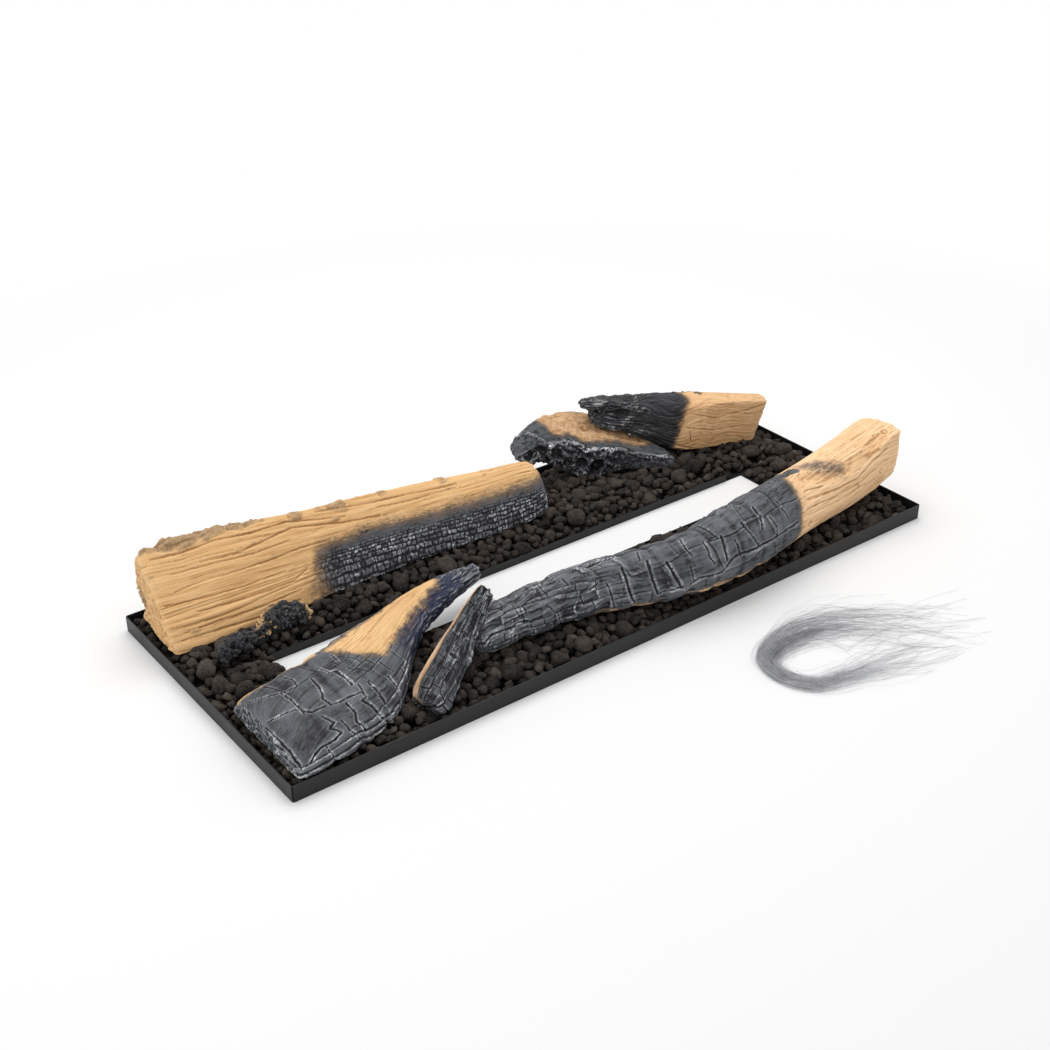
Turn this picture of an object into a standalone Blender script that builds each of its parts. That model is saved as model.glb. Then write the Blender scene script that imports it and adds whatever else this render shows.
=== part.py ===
"""Decorative log set for a fire: a folded steel tray, a bed of lava stones, seven cast logs and
pieces of charcoal that lie on it, and a tuft of glow wool beside it.

Metres, +Z up, +X along the tray, +Y to its back. The origin is under the middle of the tray's
front rail, on the face that the tray rests on.
"""

import math
import random

import bmesh
import bpy
from mathutils import Matrix, Vector, noise
from mathutils.bvhtree import BVHTree

# Tray, one folded sheet
TRAY_LENGTH = 1.0
TRAY_WIDTH = 0.412
WALL_HEIGHT = 0.0213
SHEET = 0.0015
CORNER_SLIT = 0.0016
SLOT_LENGTH = 0.782
SLOT_WIDTH = 0.072
SLOT_WALL_HEIGHT = 0.011
SLOT_WALL_STOP = 0.030

# Play between neighbours, and the steps in which a piece is lowered on to what carries it
REST_GAP = 0.0003
DROP_START = 0.160
DROP_STEPS = (0.006, 0.001, 0.0002, 0.00004)

# Lava bed and loose stones
BED_DEPTH = 0.0155
BED_CELL = 0.0110
BED_LUMP = 0.0042
STONE_PITCH = 0.027
LOOSE_STONE = 0.026
LOOSE_STONE_COUNT = 34
LOOSE_STONE_REACH = 0.021
LOOSE_STONE_RIM = 0.014
STONE_TRIES = 40

# Log lying along the back, at the left
BACK_LEFT_LENGTH = 0.562
BACK_LEFT_DEPTH = 0.112
BACK_LEFT_HEIGHT = 0.109

# Bark slab that leans on it
SLAB_LENGTH = 0.252
SLAB_DEPTH = 0.082
SLAB_HEIGHT = 0.088

# Log at the back, at the right
BACK_RIGHT_LENGTH = 0.276
BACK_RIGHT_DEPTH = 0.066
BACK_RIGHT_HEIGHT = 0.100
PRONG_LENGTH = 0.088
PRONG_DEPTH = 0.030
PRONG_HEIGHT = 0.021

# Long log along the front
FRONT_RIGHT_LENGTH = 0.703
FRONT_RIGHT_DEPTH = 0.092
FRONT_RIGHT_HEIGHT = 0.093

# Charred slab with a prong, at the front left
FRONT_LEFT_LENGTH = 0.375
FRONT_LEFT_DEPTH = 0.155
FRONT_LEFT_HEIGHT = 0.044

# Cracks between the plates of char
CRACK_HALF_WIDTH = 0.0045
CRACK_DEPTH = 0.0042
PLATE_LIFT = 0.0012

# Split stick that leans on the long log, and the charred twig
STICK_LENGTH = 0.168
STICK_DEPTH = 0.046
STICK_HEIGHT = 0.034
TWIG_LENGTH = 0.132
TWIG_THICKNESS = 0.029

# Tuft of glow wool on the floor
WOOL_LENGTH = 0.275
WOOL_SPREAD = 0.130
WOOL_BAND = 0.044
WOOL_LOFT = 0.020
WOOL_TO_TRAY = 0.100

# The tray's middle from the origin, which is under the middle of the front rail
RAIL_WIDTH = (TRAY_WIDTH - SLOT_WIDTH) / 2
TRAY_MIDDLE_Y = (RAIL_WIDTH + SLOT_WIDTH) / 2

# Outlines of a section, from the front at 0 to the back at 1 and from the bottom at 0 to the top at 1,
# with how crisp each corner stays
WEDGE_SHARES = (
    (0.0, 0.0, 0.8), (0.17, 0.25, 0.0), (0.42, 0.56, 0.0), (0.68, 0.86, 0.0), (0.89, 1.0, 0.5),
    (1.0, 0.84, 0.0), (1.0, 0.42, 0.0), (0.88, 0.12, 0.3), (0.5, 0.0, 0.0), (0.16, 0.0, 0.0),
)
ROUND_SHARES = (
    (0.05, 0.2, 0.0), (0.0, 0.5, 0.0), (0.12, 0.82, 0.0), (0.37, 1.0, 0.0), (0.66, 1.0, 0.0),
    (0.9, 0.82, 0.0), (1.0, 0.5, 0.0), (0.92, 0.18, 0.0), (0.66, 0.0, 0.0), (0.3, 0.0, 0.0),
)
CONVEX_SHARES = (
    (0.0, 0.08, 0.4), (0.07, 0.42, 0.0), (0.23, 0.74, 0.0), (0.5, 0.95, 0.0), (0.78, 1.0, 0.3),
    (0.98, 0.86, 0.0), (1.0, 0.5, 0.0), (0.9, 0.14, 0.0), (0.55, 0.0, 0.0), (0.18, 0.0, 0.0),
)
PLANK_SHARES = (
    (0.0, 0.0, 0.6), (0.02, 0.42, 0.0), (0.12, 0.8, 0.0), (0.42, 1.0, 0.0), (0.72, 1.0, 0.0),
    (0.86, 0.94, 0.5), (0.94, 0.5, 0.0), (1.0, 0.04, 0.6), (0.6, 0.0, 0.0), (0.2, 0.0, 0.0),
)
SPLIT_SHARES = (
    (0.04, 0.06, 0.5), (0.0, 0.5, 0.0), (0.0, 0.98, 0.8), (0.32, 1.0, 0.0), (0.66, 0.97, 0.0),
    (1.0, 0.86, 0.7), (1.0, 0.5, 0.0), (0.9, 0.06, 0.4), (0.55, 0.0, 0.0), (0.3, 0.0, 0.0),
)
ROOF_SHARES = (
    (0.0, 0.08, 0.4), (0.0, 0.40, 0.0), (0.03, 0.66, 0.6), (0.36, 0.81, 0.0), (0.7, 0.93, 0.0),
    (1.0, 1.0, 0.6), (1.0, 0.84, 0.3), (0.84, 0.5, 0.0), (0.55, 0.16, 0.0), (0.25, 0.0, 0.2),
)

# Each log's sections, as shares of its length, depth and height: along, how far the top hangs over
# along, front edge, underside, depth, height, and its turn from the first outline to the second
BACK_LEFT_SECTION_SHARES = (
    (0.0, 0.0, 0.0, 0.01, 0.84, 0.90, 0.0), (0.012, 0.0, -0.01, 0.0, 0.90, 0.95, 0.0),
    (0.06, 0.0, -0.01, 0.0, 0.96, 0.99, 0.0), (0.14, 0.0, 0.0, 0.0, 1.0, 0.955, 0.1),
    (0.22, 0.0, 0.01, 0.0, 0.95, 0.915, 0.1), (0.30, 0.0, 0.02, 0.0, 0.83, 0.885, 0.1),
    (0.38, 0.0, 0.04, 0.0, 0.72, 0.85, 0.2), (0.50, 0.0, 0.03, 0.01, 0.68, 0.83, 0.3),
    (0.63, 0.0, 0.02, 0.02, 0.70, 0.74, 0.5), (0.75, 0.0, -0.03, 0.01, 0.71, 0.71, 0.7),
    (0.87, 0.0, -0.07, 0.0, 0.65, 0.69, 0.9), (0.96, 0.0, -0.06, 0.01, 0.60, 0.66, 1.0),
    (0.992, 0.0, -0.02, 0.04, 0.54, 0.60, 1.0), (1.0, 0.0, 0.02, 0.10, 0.44, 0.48, 1.0),
)
SLAB_SECTION_SHARES = (
    (0.0, 0.0, 0.10, 0.42, 0.35, 0.14, 0.0), (0.03, 0.0, 0.07, 0.38, 0.45, 0.26, 0.0),
    (0.14, 0.0, 0.17, 0.33, 0.56, 0.53, 0.0), (0.24, 0.0, 0.24, 0.26, 0.64, 0.67, 0.0),
    (0.36, 0.0, 0.27, 0.14, 0.72, 0.84, 0.0), (0.45, 0.0, 0.24, 0.0, 0.76, 0.98, 0.0),
    (0.53, 0.0, 0.16, 0.0, 0.84, 0.98, 0.0), (0.60, 0.0, 0.14, 0.17, 0.84, 0.76, 0.0),
    (0.74, 0.0, 0.10, 0.28, 0.74, 0.49, 0.2), (0.86, 0.0, 0.01, 0.34, 0.58, 0.38, 0.5),
    (0.96, 0.0, -0.07, 0.38, 0.42, 0.30, 0.8), (1.0, 0.0, -0.05, 0.42, 0.30, 0.18, 1.0),
)
BACK_RIGHT_SECTION_SHARES = (
    (0.0, 0.0, 0.10, 0.62, 0.46, 0.14, 0.0), (0.03, 0.0, 0.06, 0.58, 0.60, 0.22, 0.0),
    (0.10, 0.0, 0.07, 0.52, 0.68, 0.29, 0.0), (0.21, 0.0, 0.05, 0.41, 0.78, 0.46, 0.0),
    (0.33, 0.0, 0.0, 0.25, 0.90, 0.62, 0.2), (0.46, 0.0, -0.03, 0.05, 1.0, 0.80, 0.4),
    (0.60, 0.0, 0.0, 0.0, 0.95, 0.84, 0.7), (0.74, 0.0, 0.08, 0.0, 0.82, 0.80, 1.0),
    (0.88, 0.03, 0.14, 0.0, 0.70, 0.74, 1.0), (0.935, 0.06, 0.17, 0.0, 0.64, 0.71, 1.0),
    (0.945, 0.065, 0.19, 0.02, 0.60, 0.68, 1.0),
)
PRONG_SECTION_SHARES = (
    (0.0, 0.0, 0.30, 0.42, 0.45, 0.40, 0.0), (0.06, 0.0, 0.18, 0.28, 0.70, 0.66, 0.0),
    (0.30, 0.0, 0.05, 0.08, 0.92, 0.88, 0.0), (0.60, 0.0, 0.0, -0.12, 1.0, 1.06, 0.0),
    (0.92, 0.0, 0.10, -0.28, 0.9, 1.12, 0.0), (1.0, 0.0, 0.2, -0.28, 0.7, 0.9, 0.0),
)
FRONT_RIGHT_SECTION_SHARES = (
    (0.0, 0.0, 0.02, 0.06, 0.42, 0.42, 0.0), (0.012, 0.0, -0.04, 0.02, 0.56, 0.56, 0.0),
    (0.08, 0.0, -0.05, 0.0, 0.62, 0.62, 0.0), (0.16, 0.0, -0.12, 0.0, 0.68, 0.67, 0.0),
    (0.24, 0.0, -0.24, 0.0, 0.74, 0.73, 0.0), (0.30, 0.0, -0.41, 0.0, 0.78, 0.77, 0.0),
    (0.36, 0.0, -0.60, 0.0, 0.83, 0.81, 0.0), (0.44, 0.0, -0.73, 0.0, 0.88, 0.86, 0.0),
    (0.52, 0.0, -0.77, 0.0, 0.99, 0.97, 0.0), (0.60, 0.0, -0.70, 0.0, 1.0, 0.99, 0.0),
    (0.68, 0.0, -0.54, 0.0, 0.95, 0.94, 0.0), (0.75, 0.0, -0.42, 0.0, 0.92, 0.92, 0.2),
    (0.83, 0.0, -0.32, 0.01, 0.90, 0.91, 0.5), (0.91, 0.0, -0.25, 0.07, 0.86, 0.92, 0.8),
    (0.985, 0.0, -0.18, 0.24, 0.80, 0.87, 1.0), (1.0, 0.0, -0.16, 0.28, 0.76, 0.82, 1.0),
)
FRONT_LEFT_SECTION_SHARES = (
    (0.0, 0.0, 0.02, 0.04, 0.96, 0.62, 0.0), (0.015, 0.0, 0.0, 0.0, 1.02, 0.72, 0.0),
    (0.12, 0.0, 0.01, 0.0, 1.02, 0.86, 0.0), (0.26, 0.0, 0.09, 0.0, 0.98, 0.97, 0.0),
    (0.36, 0.0, 0.16, 0.0, 0.98, 1.0, 0.0), (0.45, 0.0, 0.31, 0.0, 0.86, 1.0, 0.2),
    (0.52, 0.0, 0.53, 0.02, 0.67, 0.98, 0.5), (0.60, 0.0, 0.77, 0.06, 0.47, 0.94, 0.9),
    (0.72, 0.0, 0.97, 0.12, 0.36, 0.84, 1.0), (0.86, 0.0, 1.13, 0.19, 0.25, 0.68, 1.0),
    (0.98, 0.0, 1.24, 0.26, 0.15, 0.44, 1.0), (1.0, 0.0, 1.26, 0.32, 0.11, 0.32, 1.0),
)
STICK_SECTION_SHARES = (
    (0.0, 0.0, 0.06, 0.10, 0.80, 0.70, 0.0), (0.03, 0.0, 0.0, 0.02, 0.96, 0.90, 0.0),
    (0.20, 0.0, 0.0, 0.0, 1.0, 1.0, 0.0), (0.42, 0.0, 0.10, 0.02, 0.86, 0.96, 0.2),
    (0.62, 0.0, 0.24, 0.08, 0.68, 0.84, 0.5), (0.82, 0.0, 0.34, 0.14, 0.54, 0.72, 0.8),
    (0.97, 0.0, 0.42, 0.20, 0.42, 0.56, 1.0), (1.0, 0.0, 0.46, 0.28, 0.32, 0.42, 1.0),
)
# Where the plates of char part on the two charred logs, and how deep there, as shares of the crack's depth
FRONT_RIGHT_CRACK_SHARES = (
    (0.085, 0.7), (0.165, 0.8), (0.240, 0.8), (0.300, 1.0), (0.345, 1.1), (0.395, 1.0), (0.450, 1.1),
    (0.505, 0.9), (0.560, 1.0), (0.620, 0.8),
)
FRONT_LEFT_CRACK_SHARES = ((0.125, 0.9), (0.235, 1.0), (0.340, 0.8))
TWIG_SECTION_SHARES = (
    (0.0, 0.0, 0.2, 0.1, 0.4, 0.4, 0.0), (0.05, 0.0, 0.0, 0.0, 0.7, 0.7, 0.0),
    (0.2, 0.0, 0.15, 0.0, 0.9, 0.9, 0.0), (0.35, 0.0, 0.25, 0.02, 0.66, 0.7, 0.0),
    (0.5, 0.0, 0.45, 0.02, 0.62, 0.66, 0.0), (0.66, 0.0, 0.62, 0.0, 0.92, 1.0, 0.0),
    (0.84, 0.0, 0.48, 0.0, 1.0, 1.1, 0.0), (0.96, 0.0, 0.3, 0.05, 0.8, 0.86, 0.0),
    (1.0, 0.0, 0.4, 0.2, 0.5, 0.5, 0.0),
)

# The wool's middle line on the floor: along its length, across its spread, band and loft
WOOL_PATH_SHARES = (
    (1.0, 0.0, 0.20, 0.3), (0.84, 0.17, 0.66, 0.5), (0.67, 0.47, 0.92, 0.8),
    (0.505, 0.785, 1.0, 1.0), (0.385, 0.93, 1.0, 1.0), (0.25, 0.985, 0.95, 1.0),
    (0.11, 0.94, 0.80, 1.0), (0.03, 0.83, 0.66, 1.0), (0.0, 0.66, 0.62, 1.0),
    (0.03, 0.46, 0.66, 1.0), (0.10, 0.32, 0.72, 1.0), (0.235, 0.24, 0.76, 0.9),
    (0.40, 0.17, 0.66, 0.8), (0.56, 0.08, 0.44, 0.6), (0.66, 0.02, 0.18, 0.3),
)

# The wool band's section: across from -1 to 1, and up from 0 to 1
WOOL_OUTLINE_SHARES = ((-0.9, 0.0), (-1.0, 0.45), (-0.5, 1.0), (0.5, 1.0), (1.0, 0.45), (0.9, 0.0))

# Where each piece lies: shares of the tray's length and width from its middle, heading and pitch
# in degrees, and the height share at which it starts its way down
BACK_LEFT_PLACE_SHARES = (-0.490, 0.206)
FRONT_LEFT_PLACE_SHARES = (-0.488, -0.492)
FRONT_RIGHT_PLACE_SHARES = (-0.205, -0.352)
SLAB_PLACE_SHARES = (0.057, 0.363)
BACK_RIGHT_PLACE_SHARES = (0.203, 0.364)
STICK_PLACE_SHARES = (-0.298, -0.477)
TWIG_PLACE_SHARES = (-0.452, 0.085)
SLAB_HEADING = -14.0
SLAB_PITCHES = (8.0, 24.0)
BACK_RIGHT_HEADING = -19.0
BACK_RIGHT_PITCHES = (-4.0, 10.0)
PRONG_PLACE_SHARES = (-0.06, 0.14, 0.765)
STICK_HEADING = 24.0
STICK_PITCHES = (-30.0, -12.0)
TWIG_HEADING = 4.0
WOOL_PLACE_SHARE = 0.080
PITCH_TRIES = 7
PITCH_ROUNDS = 4
END_CRISP_SHARE = 0.6
STONE_CLEAR_SHARE = 0.75
STONE_APART_SHARES = (1.5, 1.3, 1.1, 0.9)
STONE_COLUMN_SHARES = (0.5, 1.0, 1.5, 2.0)
STONE_START_SHARE = 2.0

# Finishes: colour, roughness and metallic value
FINISHES = {
    "tray_black": ((0.018, 0.018, 0.019), 0.42, 0.0),
    "lava_brown": ((0.045, 0.038, 0.033), 0.9, 0.0),
    "split_wood": ((0.56, 0.37, 0.19), 0.8, 0.0),
    "charcoal": ((0.06, 0.06, 0.065), 0.7, 0.0),
    "wool_grey": ((0.45, 0.45, 0.46), 0.95, 0.0),
}


def finish(name, piece):
    colour, roughness, metallic = FINISHES[name]
    material = bpy.data.materials.new(f"{name}_{piece}")
    material.use_nodes = True
    shader = material.node_tree.nodes["Principled BSDF"]
    shader.inputs["Base Color"].default_value = (*colour, 1)
    shader.inputs["Roughness"].default_value = roughness
    shader.inputs["Metallic"].default_value = metallic
    material.diffuse_color = (*colour, 1)
    return material


def clear_scene():
    for item in list(bpy.data.objects):
        bpy.data.objects.remove(item, do_unlink=True)


def new_collection(name):
    collection = bpy.data.collections.new(name)
    bpy.context.scene.collection.children.link(collection)
    return collection


def add_piece(name, bm, collection, base, finish_name):
    """Put a finished bmesh in the scene as one named piece under the set's empty."""
    mesh = bpy.data.meshes.new(name)
    bmesh.ops.recalc_face_normals(bm, faces=bm.faces)
    bm.to_mesh(mesh)
    bm.free()
    mesh.materials.append(finish(finish_name, name))
    piece = bpy.data.objects.new(name, mesh)
    collection.objects.link(piece)
    piece.parent = base
    return piece


def evaluated_triangles(piece):
    """World points and triangles of a piece with its modifiers."""
    depsgraph = bpy.context.evaluated_depsgraph_get()
    shown = piece.evaluated_get(depsgraph)
    mesh = shown.to_mesh()
    mesh.calc_loop_triangles()
    points = [shown.matrix_world @ v.co for v in mesh.vertices]
    triangles = [tuple(t.vertices) for t in mesh.loop_triangles]
    shown.to_mesh_clear()
    return points, triangles


def joined_tree(pieces):
    """One search tree over all the pieces that can carry the next one."""
    points = []
    triangles = []
    for piece in pieces:
        more_points, more_triangles = evaluated_triangles(piece)
        start = len(points)
        points += more_points
        triangles += [tuple(i + start for i in t) for t in more_triangles]
    return BVHTree.FromPolygons(points, triangles)


def lower_on_to(points, triangles, tree):
    """How far the points come down from where they are until they touch the tree."""
    drop = 0.0
    for step in DROP_STEPS:
        while drop < 2 * DROP_START:
            down = Vector((0, 0, drop + step))
            moved = BVHTree.FromPolygons([p - down for p in points], triangles)
            if tree.overlap(moved):
                break
            drop += step
    return drop


def seat(piece, carriers):
    """Lower a piece straight down on to its carriers and leave the rest gap."""
    bpy.context.view_layer.update()
    points, triangles = evaluated_triangles(piece)
    drop = lower_on_to(points, triangles, joined_tree(carriers))
    piece.location.z -= drop - REST_GAP
    bpy.context.view_layer.update()


def lean(piece, carriers, pitches):
    """Pitch a piece about its own length's cross axis until its middle lies lowest."""
    tree = joined_tree(carriers)
    low, high = (math.radians(p) for p in pitches)
    for _ in range(PITCH_ROUNDS):
        step = (high - low) / (PITCH_TRIES - 1)
        lowest = None
        for turn in range(PITCH_TRIES):
            pitch = low + step * turn
            piece.rotation_euler.y = pitch
            bpy.context.view_layer.update()
            points, triangles = evaluated_triangles(piece)
            middle = sum(p.z for p in points) / len(points)
            height = middle - lower_on_to(points, triangles, tree)
            if lowest is None or height < lowest[0]:
                lowest = (height, pitch)
        low, high = lowest[1] - step, lowest[1] + step
    piece.rotation_euler.y = lowest[1]
    seat(piece, carriers)


def blended(first_shares, second_shares, turn):
    """An outline part of the way from one to the other."""
    return [
        tuple(a + (b - a) * turn for a, b in zip(first, second))
        for first, second in zip(first_shares, second_shares)
    ]


def loft(rings, crisp=None):
    """A closed cage through rings of points, with a flat face on each end."""
    bm = bmesh.new()
    creases = bm.edges.layers.float.new("crease_edge")
    loops = [[bm.verts.new(p) for p in ring] for ring in rings]
    for step, (ring, following) in enumerate(zip(loops, loops[1:])):
        for i in range(len(ring)):
            j = (i + 1) % len(ring)
            bm.faces.new((ring[i], ring[j], following[j], following[i]))
            if crisp:
                bm.edges.get((ring[i], following[i]))[creases] = crisp[step][i]
    for end in (loops[0], loops[-1]):
        face = bm.faces.new(end)
        if crisp:
            for edge in face.edges:
                edge[creases] = END_CRISP_SHARE
    return bm


def smooth(piece):
    """Round the cage with one subdivision."""
    subdivision = piece.modifiers.new("soft_form", "SUBSURF")
    subdivision.levels = 1
    subdivision.render_levels = 1
    piece.data.shade_smooth()


def section_at(section_shares, along):
    """The section part of the way along a log, between the two given ones beside it."""
    for before, after in zip(section_shares, section_shares[1:]):
        if before[0] <= along <= after[0]:
            part = (along - before[0]) / (after[0] - before[0])
            return tuple(a + (b - a) * part for a, b in zip(before, after))
    raise ValueError(f"no section at {along}")


def grown(section, size, amount):
    """A section made larger on top and on both sides by an amount, or smaller all round by a negative one."""
    along, overhang, front, underside, wide, tall, turn = section
    _, depth, height = size
    rise = max(0.0, -amount) / height
    return (
        along, overhang, front - amount / depth, underside + rise,
        wide + 2 * amount / depth, tall + amount / height - rise, turn,
    )


def cracked(section_shares, crack_shares, size):
    """A log's sections with a groove at each crack, and a slight lift of the plate on one side."""
    half = CRACK_HALF_WIDTH / size[0]
    sections = list(section_shares)
    for along, depth_share in crack_shares:
        sections = [each for each in sections if abs(each[0] - along) > half * 1.5]
        sections += [
            grown(section_at(section_shares, along - half), size, 0.0),
            grown(section_at(section_shares, along), size, -CRACK_DEPTH * depth_share),
            grown(section_at(section_shares, along + half), size, PLATE_LIFT * depth_share),
        ]
    return sorted(sections)


def log_cage(size, section_shares, first_shares, second_shares):
    """The cage of a log along +X from its left end."""
    length, depth, height = size
    rings = []
    crisp = []
    for along, overhang, front, underside, wide, tall, turn in section_shares:
        outline = blended(first_shares, second_shares, turn)
        rings.append([
            Vector((
                (along + overhang * up) * length,
                (front + across * wide) * depth,
                (underside + up * tall) * height,
            ))
            for across, up, _ in outline
        ])
        crisp.append([corner for _, _, corner in outline])
    return loft(rings, crisp)


def log(name, size, section_shares, first_shares, second_shares, place, heading, finish_name, scene):
    """A log lofted along its own +X from its left end, turned to its heading above the tray."""
    cage = log_cage(size, section_shares, first_shares, second_shares)
    piece = add_piece(name, cage, scene["parts"], scene["base"], finish_name)
    smooth(piece)
    piece.location = (place[0] * TRAY_LENGTH, place[1] * TRAY_WIDTH, DROP_START)
    piece.rotation_euler = (0, 0, math.radians(heading))
    return piece


def combine(piece, tool, operation):
    """Join a helper to a piece or cut it away, and hide the helper."""
    tool.hide_render = True
    tool.display_type = "WIRE"
    step = piece.modifiers.new(tool.name, "BOOLEAN")
    step.operation = operation
    step.solver = "EXACT"
    step.object = tool


def box(low, high):
    """A box between two corners."""
    bm = bmesh.new()
    bmesh.ops.create_cube(bm, size=1)
    bmesh.ops.scale(bm, vec=[b - a for a, b in zip(low, high)], verts=bm.verts)
    bmesh.ops.translate(bm, vec=[(a + b) / 2 for a, b in zip(low, high)], verts=bm.verts)
    return bm


def add_prong(piece, scene):
    """Join the charred spike to the top of the back right log's left end."""
    size = (PRONG_LENGTH, PRONG_DEPTH, PRONG_HEIGHT)
    cage = log_cage(size, PRONG_SECTION_SHARES, ROUND_SHARES, ROUND_SHARES)
    prong = add_piece("back_right_prong", cage, scene["cutters"], piece, "charcoal")
    smooth(prong)
    prong.location = (
        PRONG_PLACE_SHARES[0] * BACK_RIGHT_LENGTH,
        PRONG_PLACE_SHARES[1] * BACK_RIGHT_DEPTH,
        PRONG_PLACE_SHARES[2] * BACK_RIGHT_HEIGHT,
    )
    combine(piece, prong, "UNION")


def tray(scene):
    """The folded sheet: floor with a slot, four outer walls with slit corners, and two slot walls."""
    end = TRAY_LENGTH / 2
    side = TRAY_WIDTH / 2
    slot_end = SLOT_LENGTH / 2
    slot_side = SLOT_WIDTH / 2
    outside = box((-end, -side, 0), (end, side, WALL_HEIGHT))
    piece = add_piece("tray", outside, scene["parts"], scene["base"], "tray_black")
    inside = box((SHEET - end, SHEET - side, SHEET), (end - SHEET, side - SHEET, 2 * WALL_HEIGHT))
    slot = box((-slot_end, -slot_side, -SHEET), (slot_end, slot_side, 2 * SHEET))
    cuts = [("inside", inside), ("slot", slot)]
    for number, (x, y) in enumerate(((-1, -1), (1, -1), (1, 1), (-1, 1)), 1):
        corners = [
            (x * (end - CORNER_SLIT), y * (side - CORNER_SLIT), -SHEET),
            (x * (end + CORNER_SLIT), y * (side + CORNER_SLIT), 2 * WALL_HEIGHT),
        ]
        low, high = (tuple(f(pair) for pair in zip(*corners)) for f in (min, max))
        cuts.append((f"corner_slit_{number}", box(low, high)))
    for name, cut in cuts:
        tool = add_piece(f"tray_{name}", cut, scene["cutters"], scene["base"], "tray_black")
        combine(piece, tool, "DIFFERENCE")
    for name, y in (("front", -slot_side - SHEET), ("back", slot_side)):
        wall = box((-slot_end, y, SHEET / 2), (slot_end - SLOT_WALL_STOP, y + SHEET, SLOT_WALL_HEIGHT))
        tool = add_piece(f"tray_slot_wall_{name}", wall, scene["cutters"], scene["base"], "tray_black")
        combine(piece, tool, "UNION")
    return piece


def bed_height(x, y, hollows):
    """Top of the lava fill at a place: domes of packed stones, lower under a loose stone."""
    spot = Vector((x / STONE_PITCH, y / STONE_PITCH, 0))
    nearest = noise.voronoi(spot, distance_metric="DISTANCE")[0][0]
    height = BED_DEPTH + BED_LUMP * (1 - 2 * min(nearest, 1))
    for place in hollows:
        away = math.hypot(x - place[0], y - place[1])
        if away < LOOSE_STONE_REACH:
            height -= LOOSE_STONE_RIM / 2 * (1 - (away / LOOSE_STONE_REACH) ** 2)
    return height


def lava_bed(name, low, high, hollows, scene):
    """A rectangular bed of lava fill with a lumpy top, from its low corner to its high corner."""
    across = max(2, round((high[0] - low[0]) / BED_CELL))
    deep = max(2, round((high[1] - low[1]) / BED_CELL))
    bm = bmesh.new()
    bmesh.ops.create_grid(bm, x_segments=across, y_segments=deep, size=0.5)
    middle = ((low[0] + high[0]) / 2, (low[1] + high[1]) / 2)
    floor = SHEET + REST_GAP
    bmesh.ops.scale(bm, vec=(high[0] - low[0], high[1] - low[1], 1), verts=bm.verts)
    bmesh.ops.translate(bm, vec=(middle[0], middle[1], floor), verts=bm.verts)
    bottom = list(bm.faces)
    raised = bmesh.ops.extrude_face_region(bm, geom=bottom)
    top = [v for v in raised["geom"] if isinstance(v, bmesh.types.BMVert)]
    for vert in top:
        vert.co.z = floor + bed_height(vert.co.x, vert.co.y, hollows)
    under = [f for f in bm.faces if all(abs(v.co.z - floor) < REST_GAP for v in f.verts)]
    bmesh.ops.dissolve_faces(bm, faces=under)
    return add_piece(name, bm, scene["parts"], scene["base"], "lava_brown")


def lava_beds(hollows, scene):
    """The fill of the tray's four rails."""
    wall = SHEET + REST_GAP
    end = TRAY_LENGTH / 2 - wall
    side = TRAY_WIDTH / 2 - wall
    inner = SLOT_WIDTH / 2 + wall
    slot_end = SLOT_LENGTH / 2 + REST_GAP
    return [
        lava_bed("lava_bed_front", (-end, -side), (end, -inner), hollows, scene),
        lava_bed("lava_bed_back", (-end, inner), (end, side), hollows, scene),
        lava_bed("lava_bed_left", (-end, -inner + wall), (-slot_end, inner - wall), hollows, scene),
        lava_bed("lava_bed_right", (slot_end, -inner + wall), (end, inner - wall), hollows, scene),
    ]


def stone_mesh(draw):
    """One rounded, uneven lava stone about its own middle."""
    bm = bmesh.new()
    bmesh.ops.create_icosphere(bm, subdivisions=2, radius=LOOSE_STONE / 2)
    stretch = Vector((draw.uniform(0.95, 1.25), draw.uniform(0.78, 1.0), draw.uniform(0.62, 0.8)))
    shift = Vector((draw.random(), draw.random(), draw.random())) * 9
    for vert in bm.verts:
        bump = noise.noise(vert.co / LOOSE_STONE * 2.2 + shift)
        vert.co = Vector(a * b for a, b in zip(vert.co * (1 + bump * 0.22), stretch))
    bmesh.ops.rotate(bm, verts=bm.verts, matrix=Matrix.Rotation(draw.uniform(0, math.tau), 3, "Z"))
    return bm


def stone_places(draw):
    """Places for the loose stones, spread over the four rails and apart from each other."""
    places = []
    edge = SHEET + LOOSE_STONE * 0.75
    while len(places) < LOOSE_STONE_COUNT * STONE_TRIES:
        x = draw.uniform(-1, 1) * (TRAY_LENGTH / 2 - edge)
        y = draw.uniform(-1, 1) * (TRAY_WIDTH / 2 - edge)
        in_slot = abs(x) < SLOT_LENGTH / 2 + edge and abs(y) < SLOT_WIDTH / 2 + edge
        if not in_slot:
            places.append((x, y))
    return places


def free_places(places, logs):
    """The first places with no log over them or close beside them, as far apart as leaves enough."""
    tree = joined_tree(logs)
    clear = LOOSE_STONE * STONE_CLEAR_SHARE
    open_places = []
    for x, y in places:
        column = [
            Vector((x, y + TRAY_MIDDLE_Y, BED_DEPTH + LOOSE_STONE * share))
            for share in STONE_COLUMN_SHARES
        ]
        beside = any(tree.find_nearest(spot)[3] < clear for spot in column)
        under = tree.ray_cast(column[0], Vector((0, 0, 1)))[0]
        if not beside and not under:
            open_places.append((x, y))
    kept = []
    for apart_share in STONE_APART_SHARES:
        for x, y in open_places:
            apart = min((math.hypot(x - a, y - b) for a, b in kept), default=TRAY_LENGTH)
            if apart > LOOSE_STONE * apart_share and len(kept) < LOOSE_STONE_COUNT:
                kept.append((x, y))
    return kept


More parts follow.
